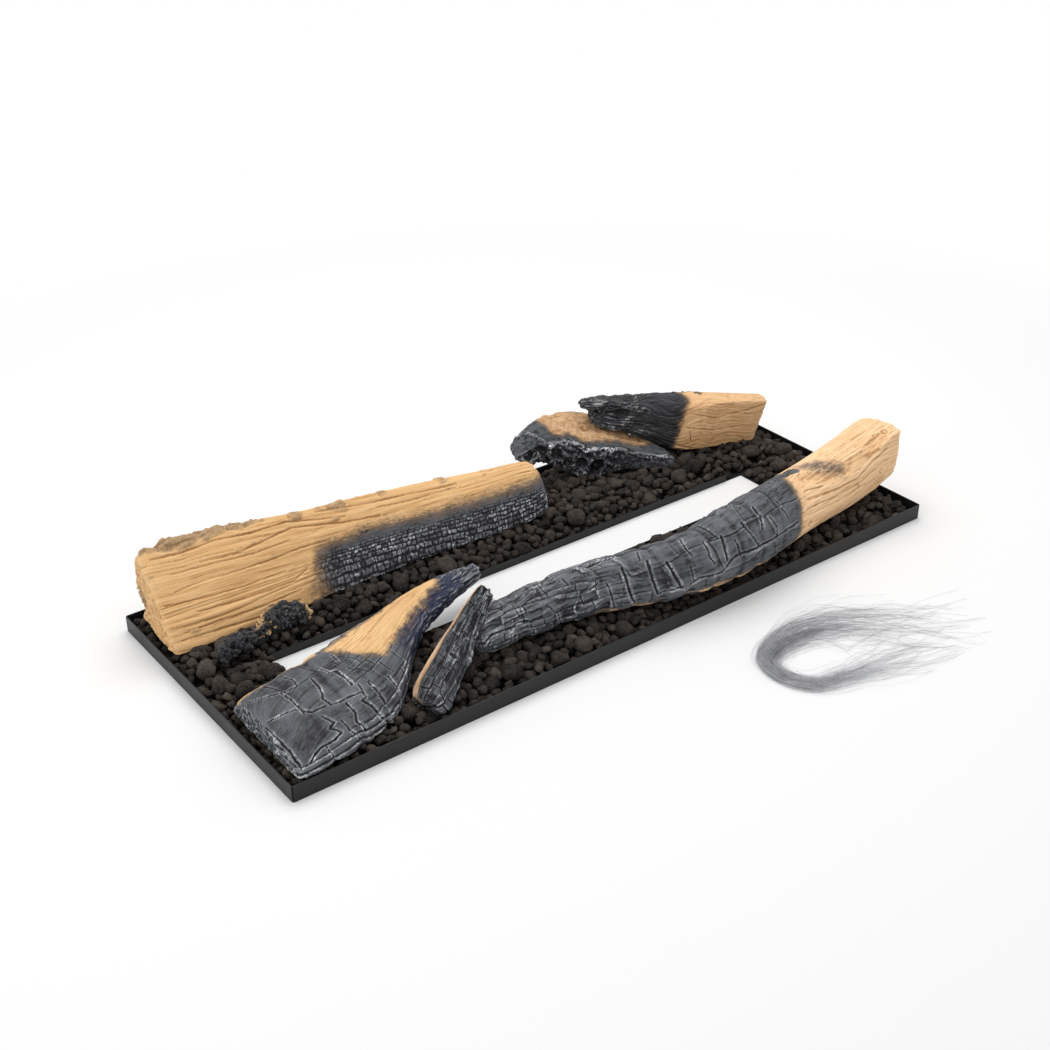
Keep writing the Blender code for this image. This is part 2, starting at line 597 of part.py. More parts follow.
def glow_wool(scene):
    """The tuft as one flat band that bends round like a U and thins to its two tails."""
    line = [Vector((a * WOOL_LENGTH, b * WOOL_SPREAD, 0)) for a, b, _, _ in WOOL_PATH_SHARES]
    rings = []
    for k, (_, _, band, loft_share) in enumerate(WOOL_PATH_SHARES):
        along = line[min(k + 1, len(line) - 1)] - line[max(k - 1, 0)]
        side = Vector((-along.y, along.x, 0)).normalized() * band * WOOL_BAND / 2
        height = loft_share * WOOL_LOFT
        rings.append([line[k] + side * u + Vector((0, 0, height * v)) for u, v in WOOL_OUTLINE_SHARES])
    piece = add_piece("glow_wool", loft(rings), scene["parts"], scene["base"], "wool_grey")
    piece.location = (
        WOOL_PLACE_SHARE * TRAY_LENGTH,
        -TRAY_WIDTH / 2 - WOOL_TO_TRAY - WOOL_SPREAD,
        0,
    )
    return piece


def main():
    clear_scene()
    parts = new_collection("decorative_log_set")
    base = bpy.data.objects.new("log_set_base", None)
    parts.objects.link(base)
    base.location = (0, TRAY_MIDDLE_Y, 0)
    scene = {"parts": parts, "cutters": new_collection("cutters"), "base": base}
    bpy.context.view_layer.update()

    folded_tray = tray(scene)
    beds = lava_beds((), scene)
    ground = [folded_tray, *beds]

    back_left = log(
        "log_back_left", (BACK_LEFT_LENGTH, BACK_LEFT_DEPTH, BACK_LEFT_HEIGHT),
        BACK_LEFT_SECTION_SHARES, WEDGE_SHARES, CONVEX_SHARES,
        BACK_LEFT_PLACE_SHARES, 0, "split_wood", scene,
    )
    seat(back_left, ground)
    size = (FRONT_LEFT_LENGTH, FRONT_LEFT_DEPTH, FRONT_LEFT_HEIGHT)
    front_left = log(
        "log_front_left", size, cracked(FRONT_LEFT_SECTION_SHARES, FRONT_LEFT_CRACK_SHARES, size),
        PLANK_SHARES, ROUND_SHARES, FRONT_LEFT_PLACE_SHARES, 0, "charcoal", scene,
    )
    seat(front_left, ground)
    size = (FRONT_RIGHT_LENGTH, FRONT_RIGHT_DEPTH, FRONT_RIGHT_HEIGHT)
    front_right = log(
        "log_front_right", size, cracked(FRONT_RIGHT_SECTION_SHARES, FRONT_RIGHT_CRACK_SHARES, size),
        ROUND_SHARES, SPLIT_SHARES, FRONT_RIGHT_PLACE_SHARES, 0, "charcoal", scene,
    )
    seat(front_right, ground)
    slab = log(
        "bark_slab", (SLAB_LENGTH, SLAB_DEPTH, SLAB_HEIGHT),
        SLAB_SECTION_SHARES, ROOF_SHARES, PLANK_SHARES,
        SLAB_PLACE_SHARES, SLAB_HEADING, "charcoal", scene,
    )
    lean(slab, [*ground, back_left], SLAB_PITCHES)
    back_right = log(
        "log_back_right", (BACK_RIGHT_LENGTH, BACK_RIGHT_DEPTH, BACK_RIGHT_HEIGHT),
        BACK_RIGHT_SECTION_SHARES, CONVEX_SHARES, SPLIT_SHARES,
        BACK_RIGHT_PLACE_SHARES, BACK_RIGHT_HEADING, "split_wood", scene,
    )
    add_prong(back_right, scene)
    lean(back_right, [*ground, back_left, slab], BACK_RIGHT_PITCHES)
    stick = log(
        "leaning_stick", (STICK_LENGTH, STICK_DEPTH, STICK_HEIGHT),
        STICK_SECTION_SHARES, PLANK_SHARES, WEDGE_SHARES,
        STICK_PLACE_SHARES, STICK_HEADING, "charcoal", scene,
    )
    lean(stick, [*ground, front_left, front_right], STICK_PITCHES)
    twig = log(
        "charred_twig", (TWIG_LENGTH, TWIG_THICKNESS, TWIG_THICKNESS),
        TWIG_SECTION_SHARES, ROUND_SHARES, ROUND_SHARES,
        TWIG_PLACE_SHARES, TWIG_HEADING, "charcoal", scene,
    )
    seat(twig, [*ground, back_left])

    draw = random.Random(8)
    logs = [back_left, front_left, front_right, slab, back_right, stick, twig]
    places = free_places(stone_places(draw), logs)
    for bed in beds:
        bpy.data.objects.remove(bed)
    beds = lava_beds(places, scene)
    ground = [folded_tray, *beds]
    carriers = [*ground, *logs]
    for number, (x, y) in enumerate(places, 1):
        name = f"lava_stone_{number:02d}"
        stone = add_piece(name, stone_mesh(draw), parts, base, "lava_brown")
        stone.data.shade_smooth()
        stone.location = (x, y, BED_DEPTH + LOOSE_STONE * STONE_START_SHARE)
        seat(stone, carriers)
        carriers.append(stone)
    glow_wool(scene)


main()
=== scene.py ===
"""Looks of the decorative log set: carved and painted logs, piled lava stones, the black tray,
the tuft of glow wool, and the floor, light and camera that show them.
"""

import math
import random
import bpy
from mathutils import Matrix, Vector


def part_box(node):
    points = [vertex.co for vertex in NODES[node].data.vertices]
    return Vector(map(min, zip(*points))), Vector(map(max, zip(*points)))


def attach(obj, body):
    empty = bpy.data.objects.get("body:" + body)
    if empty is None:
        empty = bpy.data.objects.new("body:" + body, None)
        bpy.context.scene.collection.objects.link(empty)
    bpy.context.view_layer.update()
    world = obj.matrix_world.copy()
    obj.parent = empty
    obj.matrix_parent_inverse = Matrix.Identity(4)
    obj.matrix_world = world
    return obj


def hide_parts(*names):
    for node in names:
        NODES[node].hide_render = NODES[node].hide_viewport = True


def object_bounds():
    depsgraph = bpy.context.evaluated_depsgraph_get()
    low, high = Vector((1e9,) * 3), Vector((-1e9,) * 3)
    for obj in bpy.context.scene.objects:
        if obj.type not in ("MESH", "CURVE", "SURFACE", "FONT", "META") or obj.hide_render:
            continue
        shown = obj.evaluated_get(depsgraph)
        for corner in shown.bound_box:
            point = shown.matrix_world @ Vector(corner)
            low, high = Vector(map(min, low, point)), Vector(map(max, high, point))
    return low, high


bl_info = {
    "name": "Decorative Log Set Looks",
    "version": (1, 0, 0),
    "blender": (4, 5, 0),
    "location": "View3D > Sidebar > Log Set",
    "description": "Carves and paints the logs, fills the tray with lava and lays the glow wool",
    "category": "Object",
}

import bmesh
import bpy
import numpy as np
from mathutils import Euler, Matrix, Vector, noise
from mathutils.bvhtree import BVHTree

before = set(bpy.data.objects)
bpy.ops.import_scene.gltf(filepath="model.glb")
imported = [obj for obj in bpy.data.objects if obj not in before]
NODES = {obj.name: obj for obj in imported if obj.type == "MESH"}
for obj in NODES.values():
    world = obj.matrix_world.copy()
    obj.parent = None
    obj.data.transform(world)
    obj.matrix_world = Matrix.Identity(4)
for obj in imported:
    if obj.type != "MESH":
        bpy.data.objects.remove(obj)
CAD_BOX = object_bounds()

# Lengths are in metres, and a place on a log is in shares of its solid's box. A shift picks another
# stretch of the same noise, so that no two patterns are alike.
MERGE_DISTANCE = 1e-6
ROUNDING_PASSES = 24
LINE_STEPS = 36
LINE_BENDS = 5
LINE_END = 0.09
OVER_SKIN = 0.007
CREST_SIZE = 0.00022


# Settings that a user would change


def colour_setting(name, description, default):
    return bpy.props.FloatVectorProperty(
        name=name, description=description, default=default, size=3, min=0, max=1, subtype="COLOR",
    )


def length_setting(name, description, default, low, high):
    return bpy.props.FloatProperty(
        name=name, description=description, default=default, min=low, max=high,
        subtype="DISTANCE", unit="LENGTH",
    )


class WoodColours(bpy.types.PropertyGroup):
    """Paint of the split wood and of the char."""

    # The relief layer sets dark and pale wood: dark wood in grooves and cracks is painted shade,
    # and pale wood on the crests is partly painted highlight.
    pale_wood_and_highlight: colour_setting("Pale wood", "Crests of the split grain", (0.74, 0.50, 0.25))
    wood: colour_setting("Wood", "Most of the split wood", (0.60, 0.365, 0.155))
    dark_wood_and_shade: colour_setting("Dark wood", "Grooves and cracks in the wood", (0.33, 0.170, 0.062))
    scorch: colour_setting("Scorch", "Brown rim between wood and char", (0.115, 0.078, 0.052))
    bark: colour_setting("Bark", "Brown bark along a ridge", (0.54, 0.355, 0.195))
    char: colour_setting("Char", "Most of the charred surface", (0.070, 0.074, 0.084))
    # Near-black of the char's cracks and hollows: partly the char's own paint, partly painted
    # shade.
    soot_and_shade: colour_setting("Soot", "Cracks and hollows in the char", (0.008, 0.008, 0.011))
    worn_char: colour_setting("Worn char", "Raised parts of the char", (0.135, 0.140, 0.154))
    ash: colour_setting("Ash", "Pale flecks on the crests of the char", (0.80, 0.81, 0.84))
    navy: colour_setting("Blue char", "Blue-black char on a shaded side", (0.012, 0.018, 0.050))


class CarvingSizes(bpy.types.PropertyGroup):
    """Sizes of the carved surface."""

    grid: length_setting("Grid", "Spacing of the large logs' points", 0.0015, 0.0008, 0.01)
    fine_grid: length_setting(
        "Fine grid", "Spacing of the small pieces' points", 0.0011, 0.0005, 0.01,
    )
    groove: length_setting("Groove", "Depth of the split wood's grooves", 0.0016, 0, 0.01)
    crack: length_setting("Crack", "Depth of the cracks between blocks of char", 0.0030, 0, 0.01)


class LavaSettings(bpy.types.PropertyGroup):
    """Size and colour of the lava stones."""

    smallest: length_setting("Smallest", "Half the smallest stone's width", 0.0050, 0.001, 0.03)
    largest: length_setting("Largest", "Half the largest stone's width", 0.0150, 0.001, 0.03)
    heap: length_setting("Heap", "Height of the stones over the tray's floor", 0.0270, 0.01, 0.05)
    # The pits take this colour through the painted shade of the pores.
    dark: colour_setting("Dark", "Darkest stones and their pits", (0.0045, 0.0036, 0.0030))
    light: colour_setting("Light", "Lightest stones", (0.104, 0.082, 0.068))


class TraySettings(bpy.types.PropertyGroup):
    """Paint of the folded tray."""

    paint: colour_setting("Paint", "Black paint of the tray", (0.009, 0.009, 0.010))
    dust: colour_setting("Dust", "Thin dust and wear on the paint", (0.040, 0.039, 0.038))
    bend: length_setting("Bend", "Radius of the sheet's edges and bends", 0.0004, 0.0001, 0.0007)


class WoolSettings(bpy.types.PropertyGroup):
    """Fibres of the glow wool."""

    fibres: bpy.props.IntProperty(
        name="Fibres", description="How many fibres the tuft has",
        default=310, min=10, max=4000,
    )
    thickness: length_setting("Thickness", "Half the thickness of a fibre", 0.00013, 0.00005, 0.001)
    grey: colour_setting("Grey", "Colour of the fibres", (0.45, 0.455, 0.48))


class StageSettings(bpy.types.PropertyGroup):
    """Floor, light and camera."""

    floor: colour_setting("Floor", "Pale floor", (0.80, 0.80, 0.80))
    shadow_reach: bpy.props.FloatProperty(
        name="Shadow reach", description="How far from the object the floor shows shadows",
        default=0.95, min=0.1, subtype="DISTANCE", unit="LENGTH",
    )
    lift: bpy.props.FloatProperty(
        name="Lift", description="Brightness added to the floor near the object for the camera",
        default=0.05, min=0, max=1,
    )
    key: bpy.props.FloatProperty(
        name="Key light", description="Power of the large soft light overhead",
        default=20.0, min=0, unit="POWER",
    )
    fill: bpy.props.FloatProperty(
        name="Fill light", description="Power of the soft light at the left",
        default=5.0, min=0, unit="POWER",
    )
    sky: bpy.props.FloatProperty(
        name="Room light", description="Strength of the even light from all round",
        default=0.80, min=0,
    )
    camera_place: bpy.props.FloatVectorProperty(
        name="Camera place", description="Where the camera stands",
        default=(-1.06041, -1.23310, 1.06335), size=3, subtype="TRANSLATION", unit="LENGTH",
    )
    camera_turn: bpy.props.FloatVectorProperty(
        name="Camera turn", description="Heading, tilt down and roll of the camera",
        default=(-0.64821, -0.52378, -0.00324), size=3, subtype="EULER", unit="ROTATION",
    )
    lens: bpy.props.FloatProperty(
        name="Lens", description="Focal length on a 36 mm wide sensor", default=52.41, min=1,
    )


class LogSetLooks(bpy.types.PropertyGroup):
    """All settings of the log set's looks."""

    wood: bpy.props.PointerProperty(type=WoodColours)
    carving: bpy.props.PointerProperty(type=CarvingSizes)
    lava: bpy.props.PointerProperty(type=LavaSettings)
    tray: bpy.props.PointerProperty(type=TraySettings)
    wool: bpy.props.PointerProperty(type=WoolSettings)
    stage: bpy.props.PointerProperty(type=StageSettings)


# Meshes


def add_object(name, mesh):
    piece = bpy.data.objects.new(name, mesh)
    bpy.context.scene.collection.objects.link(piece)
    return piece


def shown_mesh(item):
    """A mesh of what an object's modifiers or its bevel make of it."""
    bpy.context.view_layer.update()
    shown = item.evaluated_get(bpy.context.evaluated_depsgraph_get())
    return bpy.data.meshes.new_from_object(shown)


def mesh_from(bm, name):
    """The mesh of a bmesh that is finished with."""
    mesh = bpy.data.meshes.new(name)
    bm.to_mesh(mesh)
    bm.free()
    return mesh


def merged_copy(node):
    """A copy of a node's solid with its loose triangles joined."""
    bm = bmesh.new()
    bm.from_mesh(NODES[node].data)
    bmesh.ops.remove_doubles(bm, verts=bm.verts, dist=MERGE_DISTANCE)
    return bm


def fine_copy(node, name, grid):
    """A finely and evenly meshed copy of a node's solid, with its facets smoothed out."""
    piece = add_object(name, mesh_from(merged_copy(node), name))
    remesh = piece.modifiers.new("grid", "REMESH")
    remesh.mode = "VOXEL"
    remesh.voxel_size = grid
    remesh.use_smooth_shade = True
    smooth = piece.modifiers.new("rounding", "SMOOTH")
    smooth.factor = 0.5
    smooth.iterations = ROUNDING_PASSES
    coarse = piece.data
    mesh = shown_mesh(piece)
    mesh.name = name
    piece.modifiers.clear()
    piece.data = mesh
    bpy.data.meshes.remove(coarse)
    return piece


def node_tree(names):
    """One search tree over several nodes' solids."""
    bm = bmesh.new()
    for name in names:
        bm.from_mesh(NODES[name].data)
    tree = BVHTree.FromBMesh(bm)
    bm.free()
    return tree


# Number fields over a surface


def fractal(places, size, octaves=3, shift=0.0):
    """Smooth uneven values from about -1 to 1, with bumps of the given size."""
    scaled = places / np.asarray(size, dtype=float) + shift
    return np.array([noise.fractal(p, 1.0, 2.0, octaves) for p in scaled.tolist()])


def ridges(places, size, octaves=3, shift=0.0):
    """Values from 0 in thin valleys to 1 between them."""
    return np.clip(np.abs(fractal(places, size, octaves, shift)) * 2.2, 0, 1)


def scatter(value):
    """A fixed random number from 0 to 1 for each whole number."""
    return np.modf(np.abs(np.sin(value * 12.9898 + 4.137) * 43758.5453))[0]


def smooth_step(low, high, value):
    share = np.clip((value - low) / (high - low), 0, 1)
    return share * share * (3 - 2 * share)


def line_height(points, share):
    """The height of a line of (share, height) points at each share."""
    known = np.array(points)
    return np.interp(share, known[:, 0], known[:, 1])


def spot(surface, place, radius):
    """1 at a place in shares of the piece's box, falling to 0 at the radius."""
    away = np.linalg.norm(surface.points - surface.place(place), axis=1)
    return np.clip(1 - away / radius, 0, 1)


def from_line(points, places, normals=None):
    """How far each point is from a line through places, and where along it, from 0 to 1.

    With normals given, a small gap over or under the skin doesn't count.
    """
    nearest = np.full(len(points), np.inf)
    share = np.zeros(len(points))
    last = len(places) - 1
    for k in range(last):
        start, way = places[k], places[k + 1] - places[k]
        part = np.clip(((points - start) @ way) / (way @ way), 0, 1)
        gap = points - start - part[:, None] * way
        away = np.linalg.norm(gap, axis=1)
        if normals is not None:
            over = np.abs((gap * normals).sum(axis=1))
            away = np.where(over < OVER_SKIN, np.sqrt(np.maximum(away**2 - over**2, 0)), away)
        closer = away < nearest
        nearest[closer] = away[closer]
        share[closer] = (k + part[closer]) / last
    return nearest, share


def inside_outline(surface, outline):
    """How far inside a closed outline each point lies, seen from above; negative outside it."""
    corners = np.array([surface.place((x, y, 0))[:2] for x, y in outline])
    flat = surface.points[:, :2]
    away = from_line(flat, np.vstack((corners, corners[:1])))[0]
    inside = np.zeros(len(flat), bool)
    for (x0, y0), (x1, y1) in zip(corners, np.roll(corners, -1, axis=0)):
        spans = (y0 > flat[:, 1]) != (y1 > flat[:, 1])
        crossing = x0 + (flat[:, 1] - y0) / (y1 - y0 if y1 != y0 else 1) * (x1 - x0)
        inside ^= spans & (flat[:, 0] < crossing)
    return np.where(inside, away, -away)


class Surface:
    """A log's fine copy, carved point by point.

    along, side and rise are each point's place in the log's own directions: along it, across it
    from its middle line and up from that line. share runs from 0 at its left end to 1 at its
    right end, and turn is the angle round it, 0 on top and positive at the back.
    """

    def __init__(self, node, name, grid):
        self.node = node
        self.piece = fine_copy(node, name, grid)
        self.box = [np.array(corner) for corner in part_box(node)]
        self.points = self.read("co")
        self.read_normals()
        middle = self.points.mean(axis=0)
        centred = self.points - middle
        vectors = np.linalg.eigh(centred.T @ centred)[1]
        axis = vectors[:, 2] * np.sign(vectors[0, 2])
        across = np.cross((0, 0, 1), axis)
        across /= np.linalg.norm(across)
        up = np.cross(axis, across)
        self.along = centred @ axis
        self.length = np.ptp(self.along)
        self.share = (self.along - self.along.min()) / self.length
        self.side = self.from_middle_line(centred @ across)
        self.rise = self.from_middle_line(centred @ up)
        self.turn = np.arctan2(self.side, self.rise)
        self.radius = np.hypot(self.side, self.rise)
        self.skin = self.turn * self.radius.mean()
        mean = self.radius.mean()
        size = mean / np.maximum(self.along_line(self.radius), mean * 0.35)
        self.grain = np.column_stack((self.along, self.side * size, self.rise * size))
        self.end = np.abs(self.normals @ axis)
        self.layers = {"char": 0, "relief_and_shade": 0, "fleck": 0, "bark": 0, "navy": 0}
        # Painted shade, added into the relief layer: negative values darken cracks, holes and
        # hollows.
        self.shade = np.zeros_like(self.along)

    def read(self, field):
        values = np.empty(len(self.piece.data.vertices) * 3)
        self.piece.data.vertices.foreach_get(field, values)
        return values.reshape(-1, 3)

    def read_normals(self):
        self.piece.data.vertices.foreach_set("co", self.points.ravel())
        self.piece.data.update()
        self.normals = self.read("normal")

    def along_line(self, values):
        """The mean of the values in each slice of the log, as a smooth line along it."""
        step = np.clip((self.share * LINE_STEPS).astype(int), 0, LINE_STEPS - 1)
        count = np.maximum(np.bincount(step, minlength=LINE_STEPS), 1)
        middle = np.bincount(step, weights=values, minlength=LINE_STEPS) / count
        shares = (np.arange(LINE_STEPS) + 0.5) / LINE_STEPS
        line = np.polyfit(shares[2:-2], middle[2:-2], LINE_BENDS)
        return np.polyval(line, np.clip(self.share, LINE_END, 1 - LINE_END))

    def from_middle_line(self, values):
        """Values less those of a smooth line through the middles of the log's slices."""
        return values - self.along_line(values)

    def place(self, shares):
        """A place given in shares of the node's box."""
        return self.box[0] + np.array(shares) * (self.box[1] - self.box[0])

    def box_share(self, way):
        return (self.points[:, way] - self.box[0][way]) / (self.box[1][way] - self.box[0][way])

    def push(self, amount):
        """Move the skin out along its normals."""
        self.points += self.normals * amount[:, None]
        self.read_normals()

    def lumps(self, size, octaves=3, shift=0.0):
        """Uneven values over the skin; each shift gives another pattern."""
        return fractal(self.points, size, octaves, shift)

    def waves(self, size, octaves=3, shift=0.0):
        """Uneven values that follow the grain, with their size along it, across it and up."""
        return fractal(self.grain, size, octaves, shift)

    def standing_out(self, passes):
        """How far each point stands out from its neighbourhood, which widens with the passes."""
        pairs = np.empty(len(self.piece.data.edges) * 2, np.int32)
        self.piece.data.edges.foreach_get("vertices", pairs)
        first, second = pairs.reshape(-1, 2).T
        size = len(self.points)
        count = np.bincount(first, minlength=size) + np.bincount(second, minlength=size)
        even = self.points
        for _ in range(passes):
            total = [
                np.bincount(first, even[second, way], size)
                + np.bincount(second, even[first, way], size)
                for way in range(3)
            ]
            even = (even + np.column_stack(total)) / (count + 1)[:, None]
        return ((self.points - even) * self.normals).sum(axis=1)

    def finish(self, body, material, wide_share=0.5):
        """Write the points and the paint's layers into the mesh, and hand the piece over."""
        low, high = (np.array(corner) for corner in CAD_BOX)
        self.points = np.clip(self.points, low, high)
        self.read_normals()
        fine = self.standing_out(2) / CREST_SIZE
        broad = self.standing_out(8) / (CREST_SIZE * 3.2)
        # The relief layer: how far each point stands out, plus the painted shade. The paint darkens
        # its low values as painted shade in cracks, grooves and hollows, and lightens its high
        # values on the crests.
        self.layers["relief_and_shade"] = np.clip(0.5 * fine + 0.5 * broad + self.shade, -1, 1)
        patches = 0.2 + 0.8 * smooth_step(-0.25, 0.25, self.lumps(0.014, 3, 31.0))
        crests = smooth_step(0.7, 2.0, 0.8 * fine + wide_share * broad)
        self.layers["fleck"] = self.layers["fleck"] * patches * crests
        mesh = self.piece.data
        count = len(mesh.vertices)
        for name, values in self.layers.items():
            layer = mesh.attributes.new(name, "FLOAT", "POINT")
            values = np.broadcast_to(values, count).astype(np.float32)
            layer.data.foreach_set("value", values.copy())
        layer = mesh.attributes.new("grain", "FLOAT_VECTOR", "POINT")
        layer.data.foreach_set("vector", self.grain.astype(np.float32).ravel())
        mesh.shade_smooth()
        mesh.materials.clear()
        mesh.materials.append(material)
        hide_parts(self.node)
        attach(self.piece, body)


# Ways of carving


def bend_grain(surface, run, wave, shift=0.0):
    """Let the log's own directions wander a little, so that grain and paint flow with them."""
    bend = surface.waves((run, 0.07, 0.07), 2, shift) * wave
    lift = surface.waves((run * 0.7, 0.09, 0.09), 1, shift + 21) * wave
    surface.grain = surface.grain + np.column_stack((np.zeros_like(bend), bend, lift))


def split_grain(surface, depth, run=0.25, shift=0.0):
    """Long sharp ribs and fine grooves that follow the grain, as where wood has been split."""
    broad = surface.waves((run * 1.2, 0.024, 0.024), 2, shift + 2)
    ribs = 0.5 - np.abs(surface.waves((run * 2.0, 0.011, 0.011), 1, shift + 5))
    fine = surface.waves((run * 0.9, 0.0036, 0.0036), 1, shift + 7)
    return depth * (0.60 * broad + 0.60 * ribs + 0.34 * fine)


def combed(surface, spacing, depth, run=0.35, shift=0.0):
    """Parallel ribs along the grain, uneven in height, as where wood has been split."""
    phase = surface.skin / spacing + surface.waves((run, 0.03, 0.03), 2, shift) * 1.8
    rib = np.abs(np.sin(math.pi * phase)) ** 0.6 - 0.7
    strong = smooth_step(-0.5, 0.4, surface.waves((run * 0.6, 0.02, 0.02), 2, shift + 3))
    uneven = (scatter(np.floor(phase) + shift) - 0.5) * 0.45
    return depth * (rib * (0.25 + 0.75 * strong) + uneven)


def pitted_end(surface, depth, shift=0.0):
    """Crumbly pits on a log's end faces."""
    on_end = smooth_step(0.55, 0.85, surface.end)
    pits = surface.lumps(0.009, 3, shift) + 0.6 * surface.lumps(0.0035, 2, shift + 4)
    return on_end * depth * pits


def plates(surface, length, width, shift=0.0, wander=0.25, jitter=0.5):
    """Plates in rows round a log: how far each point is from a crack, and the plate's number."""
    across = surface.waves(length * 1.5, 2, shift) * wander
    rows = surface.skin / width + across + shift
    row = np.floor(rows)
    down = surface.waves(length * 1.1, 2, shift + 8) * wander
    columns = surface.along / length + scatter(row + shift) + down
    column = np.floor(columns)
    left = column + jitter * (scatter(column + 31 * row) - 0.5)
    right = column + 1 + jitter * (scatter(column + 1 + 31 * row) - 0.5)
    column = np.where(columns < left, column - 1, np.where(columns > right, column + 1, column))
    from_side = np.minimum(np.abs(columns - left), np.abs(columns - right)) * length
    from_row = np.minimum(rows - row, row + 1 - rows) * width
    return np.minimum(from_side, from_row), scatter(row * 7.7 + column * 3.1 + shift)


def plate_relief(crack, number, width, depth, step, dome):
    """The carved height of plates: sunken cracks, slightly domed tops at uneven heights."""
    groove = np.clip(1 - crack / width, 0, 1) ** 1.2
    top = dome * np.clip(crack / 0.012, 0, 1) ** 0.5
    return -depth * groove + (number - 0.5) * 2 * step * (1 - groove) + top


def cut_cracks(surface, cracks, where=1.0, wander=0.0008, thin=0.8, darkness=0.8):
    """Cut cracks along lines of places in a node's box, and darken them with painted shade.

    A crack is a row of whole numbers: its half width and depth in tenths of a millimetre, and then
    three for each place that it passes, in thousandths of the box's length, width and height.
    """
    sway = [surface.lumps(0.009, 3, shift) for shift in (1.3, 5.7, 9.1)]
    moved = surface.points + np.column_stack(sway) * wander
    depth = np.zeros(len(moved))
    dark = np.zeros(len(moved))
    for half_width, deepest, *numbers in cracks:
        line = surface.place(np.reshape(numbers, (-1, 3)) / 1000)
        away, share = from_line(moved, line, surface.normals)
        taper = np.clip(np.minimum(share, 1 - share) * 6 + 0.4, 0, 1)
        cut = np.clip(1 - away / (half_width / 10000 * thin), 0, 1) * taper
        depth = np.maximum(depth, deepest / 10000 * np.sqrt(cut))
        dark = np.maximum(dark, smooth_step(0.1, 0.6, cut))
    surface.push(-depth * where)
    # Painted shade in the cracks.
    surface.shade -= darkness * dark * where


def ring_cracks(surface, table, width=0.0016, lip=0.0010):
    """Cracks across a log, each with its share along it, the angles round it, depth and lean."""
    height = np.zeros_like(surface.along)
    wobble = surface.waves(0.022, 2, 17.0)
    degrees = np.degrees(surface.turn)
    for share, start, stop, depth, lean in table:
        slant = (degrees - (start + stop) / 2) * lean * 1e-3
        line = (share - 0.5) * surface.length + wobble * 0.004 + slant
        away = surface.along - surface.along.min() - surface.length / 2 - line
        window = smooth_step(start - 8, start + 12, degrees)
        window = window * (1 - smooth_step(stop - 12, stop + 8, degrees))
        height -= depth * np.clip(1 - np.abs(away) / width, 0, 1) * window
        lifted = np.where(away > 0, np.exp(-away / 0.009), -0.6 * np.exp(away / 0.012))
        height += lip * window * lifted
    return height


# Shared shader groups


def new_group(name, inputs, outputs):
    """An empty shader group: its wiring, what it is given and what it puts out."""
    tree = bpy.data.node_groups.new(name, "ShaderNodeTree")
    for label, kind, value in inputs:
        socket = tree.interface.new_socket(label, in_out="INPUT", socket_type=f"NodeSocket{kind}")
        if value is not None:
            socket.default_value = value
    for label, kind in outputs:
        tree.interface.new_socket(label, in_out="OUTPUT", socket_type=f"NodeSocket{kind}")
    given = tree.nodes.new("NodeGroupInput").outputs
    made = tree.nodes.new("NodeGroupOutput").inputs
    return Wiring(tree), given, made


class Wiring:
    """Short words for the nodes of one tree."""

    def __init__(self, tree):
        self.tree = tree

    def add(self, kind, **fields):
        item = self.tree.nodes.new(f"ShaderNode{kind}")
        for field, value in fields.items():
            setattr(item, field, value)
        return item

    def join(self, start, end):
        self.tree.links.new(start, end)

    def give(self, socket, value):
        """Link a socket, or set a plain value on it."""
        if isinstance(value, bpy.types.NodeSocket):
            self.tree.links.new(value, socket)
        else:
            socket.default_value = value

    def fill(self, item, **values):
        """Give values to a node's sockets by their labels, with _ for a space."""
        for label, value in values.items():
            self.give(item.inputs[label.replace("_", " ")], value)
        return item

    def math(self, operation, first, second, clamp=False):
        item = self.add("Math", operation=operation, use_clamp=clamp)
        for socket, value in zip(item.inputs, (first, second)):
            self.give(socket, value)
        return item.outputs[0]

    def mix(self, share, first, second):
        item = self.add("Mix", data_type="RGBA")
        item.clamp_factor = True
        self.give(item.inputs["Factor"], share)
        self.give(item.inputs[6], first)
        self.give(item.inputs[7], second)
        return item.outputs[2]

    def span(self, value, low, high, to_low=0.0, to_high=1.0):
        item = self.add("MapRange")
        self.fill(item, Value=value, From_Min=low, From_Max=high, To_Min=to_low, To_Max=to_high)
        return item.outputs[0]

    def total(self, *spans):
        """The sum of several spans, kept from 0 to 1."""
        result, *rest = (self.span(*span) for span in spans)
        for value in rest:
            result = self.math("ADD", result, value, clamp=value is rest[-1])
        return result

    def blend(self, *parts):
        """The sum of several values, each times its weight."""
        result, *rest = (self.math("MULTIPLY", value, weight) for value, weight in parts)
        for value in rest:
            result = self.math("ADD", result, value)
        return result

    def scaled(self, vector, scale):
        return self.fill(self.add("Mapping"), Vector=vector, Scale=scale).outputs[0]

    def noise(self, vector, scale, detail=4.0, roughness=0.55, distortion=0.0):
        item = self.add("TexNoise")
        self.fill(item, Vector=vector, Scale=scale, Detail=detail)
        self.fill(item, Roughness=roughness, Distortion=distortion)
        return item.outputs["Fac"]

    def layer(self, name, output="Fac"):
        """One of the layers that the carving writes into a mesh."""
        return self.add("Attribute", attribute_name=name).outputs[output]

    def group(self, name, **values):
        """A shared group, made when it is first needed."""
        item = self.add("Group")
        item.node_tree = bpy.data.node_groups.get(name) or GROUP_MAKERS[name]()
        return self.fill(item, **values).outputs


